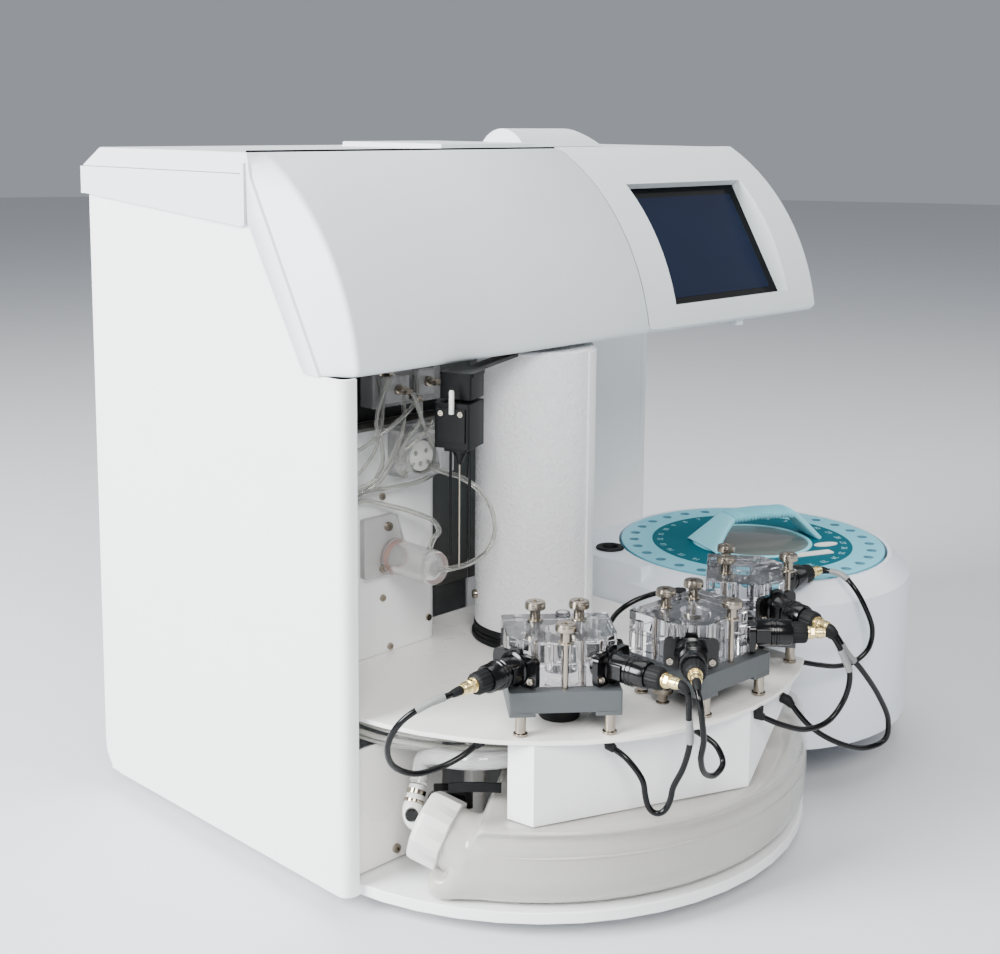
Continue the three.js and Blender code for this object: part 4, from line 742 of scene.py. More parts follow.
def hoodSkin():
    # rows climb the front curve; columns run from the strip's rear edge over the step, cheek and crease
    curve = frontCurve()
    y, z = curve[:, 0], curve[:, 1]
    left, right, crease, soft = (hood[k] for k in ("left", "right", "crease", "creaseRound"))
    stepY = np.interp(z, [hood["bottom"], hood["stepBend"], hood["top"]], hood["stepLine"])
    rearY = np.interp(z, [hood["bottom"], hood["rearBend"], hood["top"]], hood["rearLine"])
    columns = [np.stack([np.full_like(y, left), rearY, z], -1)]
    columns += [np.stack([np.full_like(y, left + x), stepY + ahead, z], -1) for x, ahead in hood["strip"]]
    corner = np.stack([np.full_like(y, crease), y, z], -1)
    cheek = columns[-1] - corner
    towards = cheek / np.maximum(np.linalg.norm(cheek, axis=1), soft * hood["cheekShare"])[:, None]
    t = np.linspace(0, 1, hood["creaseSteps"] + 1)[:, None, None]
    columns += [*((1 - t) ** 2 * (corner + towards * soft) + 2 * t * (1 - t) * corner
                  + t ** 2 * (corner + np.array([soft, 0, 0])))]
    stations = (*hood["stations"], right - hood["endRound"])
    columns += [corner + np.array([x - crease, 0, 0]) for x in stations]
    inwards = np.stack([np.zeros_like(y), hood["arcY"] - y, hood["arcZ"] - z], -1)
    inwards /= np.linalg.norm(inwards, axis=1)[:, None]
    for back, sink in ((hood["endNip"], hood["endNip"]), (0, hood["endRound"])):
        columns.append(corner + np.array([right - back - crease, 0, 0]) + inwards * sink)
    grid = np.stack(columns, 1)
    return grid.reshape(-1, 3), gridFaces(*grid.shape[:2])


def hoodEndWall():
    # the front curve with its lower rear corner cut off, drawn in about its middle
    outline = np.concatenate([frontCurve()[1:], [(hood["back"], hood["wallCut"][1]),
                                                 (hood["wallCut"][0], hood["bottom"])]])
    inner = (outline - outline.mean(0)) * hood["wallShare"] + outline.mean(0)
    return alongX(inner, hood["right"] - hood["wallFrom"], hood["right"] - hood["wallTo"])


def makeHood():
    # the skin walled inwards, its end wall and knuckles, a black strip of painted shadow in the seam and
    # what closes the slot
    skin = makePiece("hood_shell", hoodSkin(), "mouldedAbs", "hood", ("hood",), smooth=28)
    wall = skin.modifiers.new("wall", "SOLIDIFY")
    wall.thickness = hood["skin"] * millimetre
    wall.offset = -1
    makePiece("hood_end_wall", hoodEndWall(), "mouldedAbs", "hood")
    knuckle = lathe(rod(hood["pinRadius"], 0, hood["pinLength"]), 24)
    makePiece("hood_knuckles", combine(*(aimed(knuckle, (x, hood["pinY"], hood["pinZ"]), (1, 0, 0))
                                         for x in hood["pinX"])), "mouldedAbs", "hood")
    # painted shadow: a thin black strip in the gap beside the display housing stands in for the gap's shade
    seam = np.concatenate([hoodArc(hood["seamOuter"], hood["arcFrom"], hood["arcTo"]),
                           hoodArc(hood["seamInner"], hood["arcTo"], hood["arcFrom"])])
    makePiece("display_seam_painted_shadow", alongX(seam, hood["seamFrom"], hood["seamTo"]), "blackRubber", "cabinet")
    makePiece("band_front_end", box(*hood["bandEnd"]), "mouldedAbs", "cabinet", bevel=0.5)
    makePiece("lid_front_rib", box(*hood["lidRib"]), "blackAbs", "cabinet")


makeHood()
print("hood made")

# Screws: a head's sizes are shares of its radius or its height, and each is turned on from the one before
panHead = {"wallShare": 0.5, "shoulderShare": 0.96, "seatShare": 0.68, "crownLowShare": 0.66,
           "crownShare": 0.93, "crossShare": 0.5, "slotShare": 0.2, "sides": 32, "firstTurn": 17, "turn": 31}


def crossOutline(reach, width):
    # a plus sign of twelve corners
    a, w = reach, width / 2
    return [(a, -w), (a, w), (w, w), (w, a), (-w, a), (-w, w),
            (-a, w), (-a, -w), (-w, -w), (-w, -a), (w, -a), (w, -w)]


def screwHead(radius, height):
    # a turned pan head whose top layer has a cross cut through it
    h = panHead
    wall, seat = height * h["wallShare"], height * h["seatShare"]
    lower = lathe([(0, 0), (radius, 0), (radius, wall), (radius * h["shoulderShare"], seat), (0, seat)],
                  h["sides"])
    cross = crossOutline(radius * h["crossShare"], radius * h["slotShare"])
    crown = circle(0, 0, radius * h["crownShare"], h["sides"])
    return combine(lower, slab(crown, height * h["crownLowShare"], height, [cross]))


def screwRow(name, spots, radius, height, body="cabinet"):
    # spots are pairs of a place and the way that the head faces
    heads = [aimed(spun(screwHead(radius, height), panHead["firstTurn"] + panHead["turn"] * i), at, way)
             for i, (at, way) in enumerate(spots)]
    makePiece(name, combine(*heads), "nickelPlate", body, bevel=0.15, segments=2)


# Measuring modules: sizes are in the deck's own frame, x outwards from the sipper's axis, before the turn
turnAxis = np.array([216.0, 39.0, 0.0])
modules = {"left": -130.5, "middle": -92.5, "right": -54.5}


def aroundDeck(shape, degrees):
    # from the deck's own frame, x along the facing direction, to the drawing's frame
    return shifted(spun(shape, degrees), turnAxis)


moduleBase = {
    "near": 128, "far": 194, "side": 36, "low": 146, "high": 162, "corner": 1.6,
    "notch": 2.5, "endTop": 3, "endFrom": 19, "endCorner": 1.2,
    "leg": [(0, 0), (4.7, 0), (4.7, 1.6), (3.5, 2.0), (3.5, 14), (0, 14)],
    "legX": (135, 190.5), "legY": (-28.4, 28.4), "deck": 133.3,
    "seat": [(9, 133.2), (13, 133.2), (14, 135), (14, 145.6), (10, 145.6), (9, 140)], "seatX": 160,
}


def moduleBlock():
    # a grey block on two end pads, which leave a shallow notch under its middle
    b = moduleBase
    block = roundedBlock((b["near"], b["far"], -b["side"], b["side"]), b["corner"], b["low"] + b["notch"],
                         b["high"])
    ends = [roundedBlock((b["near"], b["far"], *across), b["endCorner"], b["low"], b["low"] + b["endTop"])
            for across in ((-b["side"], -b["endFrom"]), (b["endFrom"], b["side"]))]
    return combine(block, *ends)


def moduleLegs():
    # four round legs with a flange on the deck
    b = moduleBase
    return combine(*(shifted(lathe(b["leg"], 24), (x, y, b["deck"])) for x in b["legX"] for y in b["legY"]))


thumbscrew = {
    "spots": [(143, -14.5), (143, 14.5), (188, 0)], "sides": 32,
    "profile": [(0, 148), (2.0, 148), (2.0, 191.8), (5.1, 191.8), (5.1, 192.8), (3.5, 193.2), (3.5, 198.6),
                (4.3, 200), (6.5, 200), (6.9, 200.5), (6.9, 203.2), (6.4, 203.8), (0, 203.8)],
    "crown": 6.0, "crownLow": 203.7, "crownHigh": 204.9, "crossReach": 3.4, "crossWidth": 1.5,
    "rim": [(5.8, 203.6), (6.6, 203.6), (6.6, 204.4), (5.8, 204.5)],
    # the loose one on the deck, between the left and the middle module
    "deckSpot": (178, -116, 0), "deckCrownLow": 144.1, "deckCrownHigh": 145.1,
    "deckProfile": [(0, 133), (4.6, 133), (4.6, 134), (3.4, 134.4), (3.4, 139.6), (6.6, 140), (6.9, 140.6),
                    (6.9, 143.6), (6.3, 144.2), (0, 144.2)],
    "bush": [(2.2, 133), (6.4, 133), (6.4, 134.2), (4.4, 135.4), (3.4, 138.4), (2.2, 138.4)],
    "bushSpot": (238, -26.5, 0),
}


def thumbscrewCrown(low, high):
    # the flat top of a thumbscrew's head, with a cross recess
    t = thumbscrew
    return slab(circle(0, 0, t["crown"], t["sides"]), low, high,
                [crossOutline(t["crossReach"], t["crossWidth"])])


def thumbscrewSet():
    # three of a long shank, a sleeve on the chamber and a broad head
    t = thumbscrew
    single = combine(lathe(t["profile"], t["sides"]), thumbscrewCrown(t["crownLow"], t["crownHigh"]),
                     lathe(t["rim"], t["sides"], True))
    return combine(*(shifted(single, (x, y, 0)) for x, y in t["spots"]))


chamber = {
    "near": 129, "waist": 170, "far": 185.2, "side": 36, "nose": 21.5, "rounds": [1, 2.5, 2.5, 2.5, 2.5, 1],
    # height and inset share of each ring: two stacked plates with a fine groove between them
    "levels": [(162.3, 0.012), (162.8, 0), (176.5, 0), (176.9, 0.02), (177.2, 0.02), (177.6, 0.004),
               (191.1, 0.004), (191.6, 0.018)],
    "inlet": [(3.2, 191.6), (5, 191.6), (5, 193.8), (4.6, 194.2), (3.2, 194.2)], "inletSpot": (134, 5, 0),
    # x, y, radius, bottom and top of the well, the screws' bores and the ports
    "bores": [(157, 0, 10.5, 166.3, 185.6), (143, -14.5, 2.7, 162.7, 191.2), (143, 14.5, 2.7, 162.7, 191.2),
              (133.5, -24, 3.4, 162.9, 183), (166, -24, 2.2, 180, 191), (166, 24, 2.2, 180, 191),
              (134, 26, 3.0, 162.9, 185), (176, 0, 1.6, 163.3, 183.6)],
    "channel": [(0, 0), (8.2, 0), (8.2, 9), (2.2, 9.5), (2.2, 17), (0, 17)], "channelDepth": 0.6,
    "boreSides": 28,
}
probe = {
    # heights run out from the chamber's chamfer, along the probe's own axis
    "spot": (177.6, 28.75, 173.4), "splay": 46.35, "gap": 0.3,
    "flange": (-18, 18, -10, 10), "flangeRound": 4.5, "flangeTop": 4.0,
    "tab": [(-5, 8), (5, 8), (4, 13.2), (-4, 13.2)], "tabRound": 1.2, "tabLow": 0.4, "tabHigh": 3.4,
    "body": [(0, 3.6), (11.2, 3.6), (11.2, 5.2), (9.6, 6.0), (9.0, 7.2), (9.0, 16.0), (9.6, 16.4),
             (9.6, 17.8), (9.0, 18.2), (9.0, 19.4), (9.6, 19.8), (9.6, 21.2), (9.0, 21.6), (9.0, 29.6),
             (8.4, 30.8), (0, 30.8)],
    "flats": (-9.9, 9.9, -5, 5), "flatsRound": 1.0, "flatsLow": 6.0, "flatsHigh": 15.4,
    # radius, height and share of the flutes' depth along the grip
    "grip": [(6.0, 30.4, 0), (7.0, 30.9, 0), (7.4, 31.4, 1), (7.2, 39.8, 1), (6.4, 41.2, 0.3),
             (4.0, 41.9, 0)],
    "flutes": 16, "fluteDepth": 0.55, "gripSides": 96,
    "tip": [(0, 41.0), (4.7, 41.0), (4.7, 42.8), (3.8, 43.0), (3.8, 46.6), (3.2, 46.9), (3.2, 48.0),
            (3.8, 48.2), (3.8, 51.6), (3.2, 52.4), (3.2, 53.6), (0, 53.6)],
    "nutRadius": 4.5, "nutLow": 43.6, "nutHigh": 46.2,
    "screwRadius": 2.3, "screwHeight": 1.5, "screwX": (-13.9, 13.9), "screwY": -5.4, "screwZ": 3.9,
}


def chamberBlock():
    # rings of one outline, each drawn in about its middle by its inset share
    c = chamber
    edge = softened([(c["near"], -c["side"]), (c["waist"], -c["side"]), (c["far"], -c["nose"]),
                     (c["far"], c["nose"]), (c["waist"], c["side"]), (c["near"], c["side"])], c["rounds"], 3)
    middle = np.array([(c["near"] + c["far"]) / 2, 0])
    rings = np.array([np.c_[(edge - middle) * (1 - inset) + middle, np.full(len(edge), z)]
                      for z, inset in c["levels"]])
    block = capped(rings, (*middle, c["levels"][0][0]), (*middle, c["levels"][-1][0]))
    return combine(block, shifted(lathe(c["inlet"], 32, True), c["inletSpot"]))


def probeFace(sign, gap):
    # where a probe's axis meets the chamber's chamfer, gap out from it, and the way that it points
    splay = math.radians(probe["splay"])
    way = np.array([math.cos(splay), sign * math.sin(splay), 0])
    x, y, z = probe["spot"]
    return np.array([x, sign * y, z]) + way * gap, way


def chamberBores():
    # upright hollows, and a stepped channel inwards from each probe
    c = chamber
    upright = [shifted(lathe(rod(radius, low, high), c["boreSides"]), (x, y, 0))
               for x, y, radius, low, high in c["bores"]]
    cross = []
    for sign in (-1, 1):
        spot, way = probeFace(sign, -c["channelDepth"])
        cross.append(aimed(lathe(c["channel"], c["boreSides"]), spot, -way))
    return combine(*upright, *cross)


def flutedGrip():
    # radius less depth times half of one minus the cosine of 16 turns, at each height of the grip
    radii, heights, share = np.array(probe["grip"]).T
    a = np.linspace(0, 2 * math.pi, probe["gripSides"], endpoint=False)[:, None]
    reach = radii - share * probe["fluteDepth"] * (0.5 - 0.5 * np.cos(a * probe["flutes"]))
    grid = np.stack([reach * np.cos(a), reach * np.sin(a), np.broadcast_to(heights, reach.shape)], -1)
    return grid.reshape(-1, 3), gridFaces(len(a), len(radii), True)


def probeParts(sign):
    # rounded flange, ribbed glossy body, fluted grip and a stepped connector, along the chamber's chamfer
    p = probe
    spot, way = probeFace(sign, p["gap"])
    flange = roundedBlock(p["flange"], p["flangeRound"], 0, p["flangeTop"])
    tab = slab(softened(p["tab"], p["tabRound"]), p["tabLow"], p["tabHigh"])
    flats = roundedBlock(p["flats"], p["flatsRound"], p["flatsLow"], p["flatsHigh"])
    nut = slab(circle(0, 0, p["nutRadius"], 6), p["nutLow"], p["nutHigh"])
    head = screwHead(p["screwRadius"], p["screwHeight"])
    parts = {"body": combine(flange, tab, lathe(p["body"], 48), flats), "grip": flutedGrip(),
             "connector": combine(lathe(p["tip"], 32), nut),
             "screws": combine(*(shifted(head, (x, p["screwY"], p["screwZ"])) for x in p["screwX"]))}
    return {key: aimed(part, spot, way) for key, part in parts.items()}


probeFinishes = {
    "body": {"finish": "blackAbs", "bevel": 0.25}, "grip": {"finish": "blackRubber", "smooth": 60},
    "connector": {"finish": "goldFlash", "bevel": 0.12}, "screws": {"finish": "nickelPlate", "bevel": 0.1},
}


def makeModule(side, angle):
    # one module's pieces, each turned from the deck's frame by the module's angle
    def add(name, shape, finish, standsFor=(), cavities=None, **settings):
        hollows = aroundDeck(cavities, angle) if cavities else None
        makePiece(f"module_{side}_{name}", aroundDeck(shape, angle), finish, "cabinet", standsFor,
                  cavities=hollows, **settings)
    add("block", moduleBlock(), "greyPvc", (f"module_{side}_base",), bevel=0.5)
    add("legs", moduleLegs(), "nickelPlate", bevel=0.2)
    add("thumbscrews", thumbscrewSet(), "nickelPlate", bevel=0.12)
    add("clear_block", chamberBlock(), "castAcrylic", (f"module_{side}_chamber",), chamberBores(), smooth=24)
    seat = shifted(lathe(moduleBase["seat"], 40, True), (moduleBase["seatX"], 0, 0))
    add("stirrer_seat", seat, "blackRubber", bevel=0.3)
    for hand, sign in (("left", -1), ("right", 1)):
        parts = probeParts(sign)
        for key, settings in probeFinishes.items():
            node = (f"module_{side}_probe_{hand}",) if key == "body" else ()
            add(f"probe_{hand}_{key}", parts[key], standsFor=node, **settings)


def makeDeckFittings():
    # a thumbscrew on its collar, and the bush that the short cable goes into
    t = thumbscrew
    screw = combine(lathe(t["deckProfile"], t["sides"]),
                    thumbscrewCrown(t["deckCrownLow"], t["deckCrownHigh"]))
    makePiece("deck_thumbscrew", shifted(screw, t["deckSpot"]), "nickelPlate", "cabinet", bevel=0.12)
    makePiece("deck_cable_bush", shifted(lathe(t["bush"], t["sides"], True), t["bushSpot"]), "blackRubber",
              "cabinet")


for side, angle in modules.items():
    makeModule(side, angle)
makeDeckFittings()
print("modules made:", len(modules))

# Sample turntable: profiles are radius and height about the rotor's axis
rotor = {
    "at": (447, 3, 0), "radius": 109.5, "low": 156, "top": 166, "places": 30, "reach": 98.8, "hole": 4.5,
    "drum": [(0, 103.9), (104, 103.9), (104, 108.9), (16, 108.9), (16, 157), (0, 157)],
    "band": [(50, 165.8), (83.5, 165.8), (83.5, 166.15), (50, 166.15)],
    "window": [(0, 165.8), (47, 165.8), (47, 166.4), (46, 166.9), (0, 166.9)],
    "windowRim": [(47, 165.8), (50.4, 165.8), (50.4, 166.8), (49.4, 167.4), (47.5, 167.4), (47, 166.9)],
    "liner": [(3.9, 156.2), (4.55, 156.2), (4.55, 165.9), (3.9, 165.7)],
    "cupRing": [(91, 155.2), (106.5, 155.2), (106.5, 156.4), (91, 156.4)],
    "numberReach": 76.5, "numberHeight": 166.2, "figure": 7.0, "inkDepth": 0.06,
    "turn": -24, "plate": (-19, 19, -4.5, 4.5), "plateRound": 1.5, "plateLow": 166.1, "plateHigh": 166.9,
    "plateSpot": (4, -57, 0), "oval": (11, 5), "ovalHigh": 166.8, "ovalSpot": (36, -50, 0),
    "grommet": [(6.5, 161.5), (9, 161.5), (9, 165.7), (11.6, 165.7), (11.9, 166.3), (11.2, 167.4),
                (8.4, 167.9), (6.9, 167.3), (6.5, 166.4)], "grommetSpot": (345.5, 73.2, 0),
}
handle = {
    # x and height along the arch, and its half width at some of them
    "arch": [(-53, 166.3), (-38, 181.5), (-29, 188.7), (-15.5, 189.9), (0, 190.5), (15.5, 189.9),
             (29, 188.7), (38, 181.5), (53, 166.3)],
    "widthAt": [-53, -38, -27, 27, 38, 53], "halfWidths": [24, 15, 11, 11, 12, 15], "thick": 2.8,
    "ribs": 20, "ribsOver": 60, "ribbed": 29, "ribHeight": 1.2, "sides": 24, "spacing": 0.4, "shift": 5.7,
}


def onRotor(shape):
    # moved to the rotor's axis
    return shifted(shape, rotor["at"])


def numeral(text, size):
    # the outline of a number in Blender's own font, as a thin mesh of its own
    curve = bpy.data.curves.new("numeral", "FONT")
    curve.body = text
    curve.size = size
    curve.align_x = "CENTER"
    curve.align_y = "CENTER"
    curve.resolution_u = 2
    curve.extrude = rotor["inkDepth"]
    holder = bpy.data.objects.new("numeral", curve)
    mesh = bpy.data.meshes.new_from_object(holder)
    points = np.array([v.co for v in mesh.vertices])
    faces = [list(p.vertices) for p in mesh.polygons]
    bpy.data.objects.remove(holder)
    bpy.data.meshes.remove(mesh)
    return points, faces


def handleArch():
    # a section by the signed roots of cosine and sine, carried along an arch; it widens towards its feet,
    # and a cosine wave gives the grip fine ribs
    h = handle
    way = curveThrough([(x, 0, z) for x, z in h["arch"]], h["spacing"])
    x = way[:, 0]
    tangent = np.gradient(way, axis=0)
    tangent /= np.linalg.norm(tangent, axis=1)[:, None]
    normal = np.stack([-tangent[:, 2], np.zeros(len(x)), tangent[:, 0]], -1)
    wave = np.cos(x / h["ribsOver"] * h["ribs"] * 2 * math.pi)
    ribs = h["ribHeight"] * np.where(np.abs(x) < h["ribbed"], wave, 0)
    halfWidth = (np.interp(x, h["widthAt"], h["halfWidths"]) + ribs)[:, None]
    thick = (h["thick"] + ribs)[:, None]
    a = np.linspace(0, 2 * math.pi, h["sides"], endpoint=False)
    across, up = (np.sign(v) * np.sqrt(np.abs(v)) for v in (np.cos(a), np.sin(a)))
    rings = way[:, None] + np.array([0, 1, 0]) * (halfWidth * across)[:, :, None]
    rings = rings + normal[:, None] * (thick * up)[:, :, None]
    rings[..., 2] = np.maximum(rings[..., 2], h["arch"][0][1])
    return spun(shifted(capped(rings, way[0], way[-1]), (h["shift"], 0, 0)), rotor["turn"])


def makeRotorPlate():
    # the disc with its sample places over the drum, the printed band, the window and its rim
    r = rotor
    around = np.radians(np.linspace(0, 360, r["places"], endpoint=False))
    holes = [circle(r["reach"] * math.cos(a), r["reach"] * math.sin(a), r["hole"], 20) for a in around]
    disc = slab(circle(0, 0, r["radius"], 144), r["low"], r["top"], holes)
    makePiece("rotor_plate", onRotor(combine(disc, lathe(r["drum"]))), "paleBlueAbs", "sample_rotor",
              ("sample_rotor",), bevel=0.5)
    makePiece("rotor_printed_band", onRotor(lathe(r["band"], 128, True)), "tealInk", "sample_rotor")
    makePiece("rotor_window", onRotor(lathe(r["window"])), "smokedAcrylic", "sample_rotor")
    makePiece("rotor_window_rim", onRotor(lathe(r["windowRim"], ring=True)), "aquaAbs", "sample_rotor")


def makeRotorPlaces():
    # plain numbers inside the sample places, and the liners under them in a darker blue of painted shade
    r = rotor
    around = np.linspace(0, 360, r["places"], endpoint=False)
    inPlace = (r["numberReach"], 0, r["numberHeight"])
    figures = [spun(shifted(spun(numeral(str(i + 1), r["figure"]), -90), inPlace), a)
               for i, a in enumerate(around)]
    makePiece("rotor_numbers", onRotor(combine(*figures)), "paleTealInk", "sample_rotor")
    # painted shade: the liners and the ring under the holes are darker for the holes' shade
    liner = shifted(lathe(r["liner"], 16, True), (r["reach"], 0, 0))
    makePiece("rotor_cup_liners", onRotor(combine(*(spun(liner, a) for a in around))), "cupLinerPaintedShade",
              "sample_rotor")
    makePiece("rotor_cup_ring", onRotor(lathe(r["cupRing"], ring=True)), "cupLinerPaintedShade", "sample_rotor")


def makeRotorTop():
    # the handle, a blank label and a blank oval; the port's grommet stands beside the rotor
    r = rotor
    makePiece("rotor_grip", onRotor(handleArch()), "aquaAbs", "sample_rotor", ("rotor_handle",), smooth=50)
    plate = roundedBlock(r["plate"], r["plateRound"], r["plateLow"], r["plateHigh"])
    makePiece("rotor_blank_label", onRotor(shifted(spun(plate, r["turn"]), r["plateSpot"])), "whiteLabel",
              "sample_rotor")
    oval = slab(circle(0, 0, 1, 40) * np.array(r["oval"]), r["plateLow"], r["ovalHigh"])
    makePiece("rotor_blank_oval", onRotor(shifted(spun(oval, r["turn"]), r["ovalSpot"])), "whiteLabel",
              "sample_rotor")
    makePiece("port_grommet_rubber", shifted(lathe(r["grommet"], 48, True), r["grommetSpot"]), "blackRubber",
              "cabinet", ("port_grommet",))


makeRotorPlate()
makeRotorPlaces()
makeRotorTop()
print("turntable made")

# Sipper tower: x outwards from the column's axis, before the arm's turn at rest
tower = {
    "rest": -158.6, "sides": 128,
    "column": [(0, 116), (10, 116), (10, 351.5), (41.5, 351.5), (41.5, 145.6), (44, 145.6), (44, 352.6),
               (42.6, 354), (0, 354)],
    "strip": {"outer": 45.2, "inner": 43.4, "half": 10, "turn": -67, "low": 146.5, "high": 352, "steps": 12},
    "collar": [(10.4, 116), (37.5, 116), (38, 117), (38, 133.3), (45.4, 133.3), (46, 134), (46, 136.9),
               (45.4, 137.5), (44.6, 137.5), (44.6, 139.5), (43.4, 140.3), (44.6, 141.1), (44.6, 144.4),
               (43.8, 145.2), (36, 145.2), (36, 137.5), (10.4, 137.5)],
    "arm": [(44.9, -5), (112, -5), (119, -12), (141, -12), (141, 12), (119, 12), (112, 5), (44.9, 5)],
    "armRounds": [1, 3, 3, 3, 3, 3, 3, 1], "armLow": 351.4, "armHigh": 353.9,
    "head": (119, 141, -11, 11), "headLow": 336.2, "headHigh": 352, "rounds": 1.5,
    "clipTurn": 150, "clipReach": 43.6, "clipHeight": 167, "clipSize": 3.4,
    "rod": [(0, 228), (1.0, 228.4), (1.0, 337), (0, 337)], "rodX": 133, "rodY": (-7, 7),
    "slide": (122, 147, -12.5, 12.5), "slideLow": 304.6, "slideHigh": 334.6,
    "face": (146.6, 148.2, -10, 10, 309, 331), "step": (127, 142, -8, 8), "stepLow": 301.5, "stepHigh": 305,
    "taper": [(0, 291.6), (1.4, 291.6), (1.8, 293), (5.2, 300.5), (5.6, 306), (0, 306)],
    "peg": [(0, 328), (1.7, 328), (1.7, 342.6), (1.2, 343.6), (0, 343.6)], "pegSpot": (149.0, 1, 0),
    "screwX": 148.1, "screwY": (-7, 7), "screwZ": 328, "screwRadius": 1.9, "screwHeight": 1.2,
    "needle": [(0, 219.7), (0.45, 220.6), (0.55, 223), (0.55, 297), (0, 297)], "needleX": 134,
}


def aroundTower(shape):
    # turned about the column to the arm's place at rest
    return aroundDeck(shape, tower["rest"])


def makeColumn():
    # the enamelled tube, a strip over its seam, and the rubber collar that it turns in
    t, s = tower, tower["strip"]
    makePiece("column_tube", shifted(lathe(t["column"], t["sides"]), turnAxis), "hammeredEnamel",
              "sipper_tower", ("column_cover",))
    strip = slab(np.concatenate([arcPoints(0, 0, s["outer"], -s["half"], s["half"], s["steps"]),
                                 arcPoints(0, 0, s["inner"], s["half"], -s["half"], s["steps"])]),
                 s["low"], s["high"])
    makePiece("column_seam_strip", aroundDeck(strip, s["turn"]), "powderCoatedSteel", "sipper_tower",
              bevel=0.5)
    makePiece("collar_rubber", shifted(lathe(t["collar"], 96, True), turnAxis), "blackRubber", "cabinet",
              ("column_collar",))


def makeArm():
    # the arm with its head, the clip's screw low on the column, and the two guide rods
    t = tower
    head = roundedBlock(t["head"], t["rounds"], t["headLow"], t["headHigh"])
    arm = slab(softened(t["arm"], t["armRounds"]), t["armLow"], t["armHigh"])
    makePiece("sipper_arm_body", aroundTower(combine(arm, head)), "blackAnodised", "sipper_tower",
              ("sipper_arm",), bevel=0.8)
    turn = math.radians(t["clipTurn"])
    way = np.array([math.cos(turn), math.sin(turn), 0])
    screwRow("column_clip_screw", [(turnAxis + way * t["clipReach"] + (0, 0, t["clipHeight"]), way)],
             t["clipSize"], t["clipSize"], "sipper_tower")
    rods = [shifted(lathe(t["rod"], 20), (t["rodX"], y, 0)) for y in t["rodY"]]
    makePiece("sipper_guide_rods", aroundTower(combine(*rods)), "blackAnodised", "sipper_tower")


def makeCarriage():
    # the slide with its face plate, step and taper; its peg, its screws and the needle
    t = tower
    slide = roundedBlock(t["slide"], t["rounds"], t["slideLow"], t["slideHigh"])
    step = roundedBlock(t["step"], t["rounds"], t["stepLow"], t["stepHigh"])
    taper = shifted(lathe(t["taper"], 32), (t["needleX"], 0, 0))
    makePiece("sipper_slide", aroundTower(combine(slide, box(*t["face"]), step, taper)), "blackAnodised",
              "sipper_carriage", ("sipper_carriage",), bevel=0.5)
    makePiece("sipper_peg", aroundTower(shifted(lathe(t["peg"], 24), t["pegSpot"])), "naturalPolypropylene",
              "sipper_carriage")
    head = screwHead(t["screwRadius"], t["screwHeight"])
    heads = [aimed(head, (t["screwX"], y, t["screwZ"]), (1, 0, 0)) for y in t["screwY"]]
    makePiece("sipper_slide_screws", aroundTower(combine(*heads)), "nickelPlate", "sipper_carriage",
              bevel=0.1)
    makePiece("sipper_needle_tube", aroundTower(shifted(lathe(t["needle"], 16), (t["needleX"], 0, 0))),
              "nickelPlate", "sipper_carriage", ("sipper_needle",))


makeColumn()
makeArm()
makeCarriage()
print("sipper tower made")

# Feet: one rubber profile of radius and height
feet = {
    "spots": {"foot_front_left": (94.9, -70.1, 0), "foot_front_right": (329.2, -78.3, 0),
              "foot_rear_left": (32, 260, 0), "foot_rear_right": (465, 260, 0)},
    "profile": [(0, 0), (9.6, 0), (11.6, 1.2), (12, 2.6), (12, 8.0), (11.2, 8.5), (11.2, 9.2), (12, 9.7),
                (12, 11.3), (11.6, 11.7), (0, 11.7)],
}
for node, spot in feet["spots"].items():
    makePiece(node + "_rubber", shifted(lathe(feet["profile"], 40), spot), "blackRubber", "cabinet", (node,))
print("feet made:", len(feet["spots"]))

# Waste tank: a blown bottle bent round the deck's posts; its shoulder lies low under the skirt and climbs
# at the right. Sections are radius and height about the deck's axis
tank = {
    "from": -158.5, "to": -50.0, "steps": 160, "endRound": 5.0, "thinnest": 0.004,
    "climbFrom": -92.0, "climbTo": -72.0, "toeFrom": -152.5, "toeTo": -146.0, "toe": 0.3,
    "floor": 20.4, "heart": (162.0, 25.6), "voxel": 0.0016, "wall": 1.8,
    "low": [(118, 20.4), (188, 20.4), (198, 22.6), (204, 29), (206.2, 40), (206.4, 60), (205.4, 65.5),
            (203.0, 67.5), (203.2, 69.5), (205.6, 71), (205.4, 73.6), (201, 75.4), (186, 75), (160, 78),
            (118, 80)],
    "high": [(118, 20.4), (188, 20.4), (198, 22.6), (204, 29), (206.2, 40), (206.4, 60), (205.4, 65.5),
             (203.6, 67.5), (203.8, 69.5), (205.2, 71.5), (204.6, 80), (202.5, 90), (197.5, 99), (186, 104),
             (118, 104)],
    "softness": [2.5, 6, 2, 2, 1, 2, 1.2, 1, 1, 1, 1.2, 3, 4, 4, 2.5],
    "neck": [(0, -30), (22, -30), (21, -20), (20.4, -12), (20.4, 7), (0, 7)],
}
capSpot = np.array([47.0, -35.0, 60.0])
capAxis = unit((-0.42, 0.85, 0.32))
# Two ribs on the tank: reach is from the deck's axis, and to the angle where a rib ends
beads = {
    "upper": {"radius": 1.7, "reach": 204.6, "height": 73.0, "to": -93.0},
    "lower": {"radius": 1.1, "reach": 205.9, "height": 57.0, "to": -60.0},
}
beadRun = {"from": -145.0, "points": 90, "taper": 12, "thinnest": 0.02}
bracket = {"lift": 1.4, "rounds": [2, 16, 1, 1], "roundSteps": 8, "screwX": 52, "screwZ": 29, "sunk": 0.1,
           "screwRadius": 3.2, "screwHeight": 2.4}


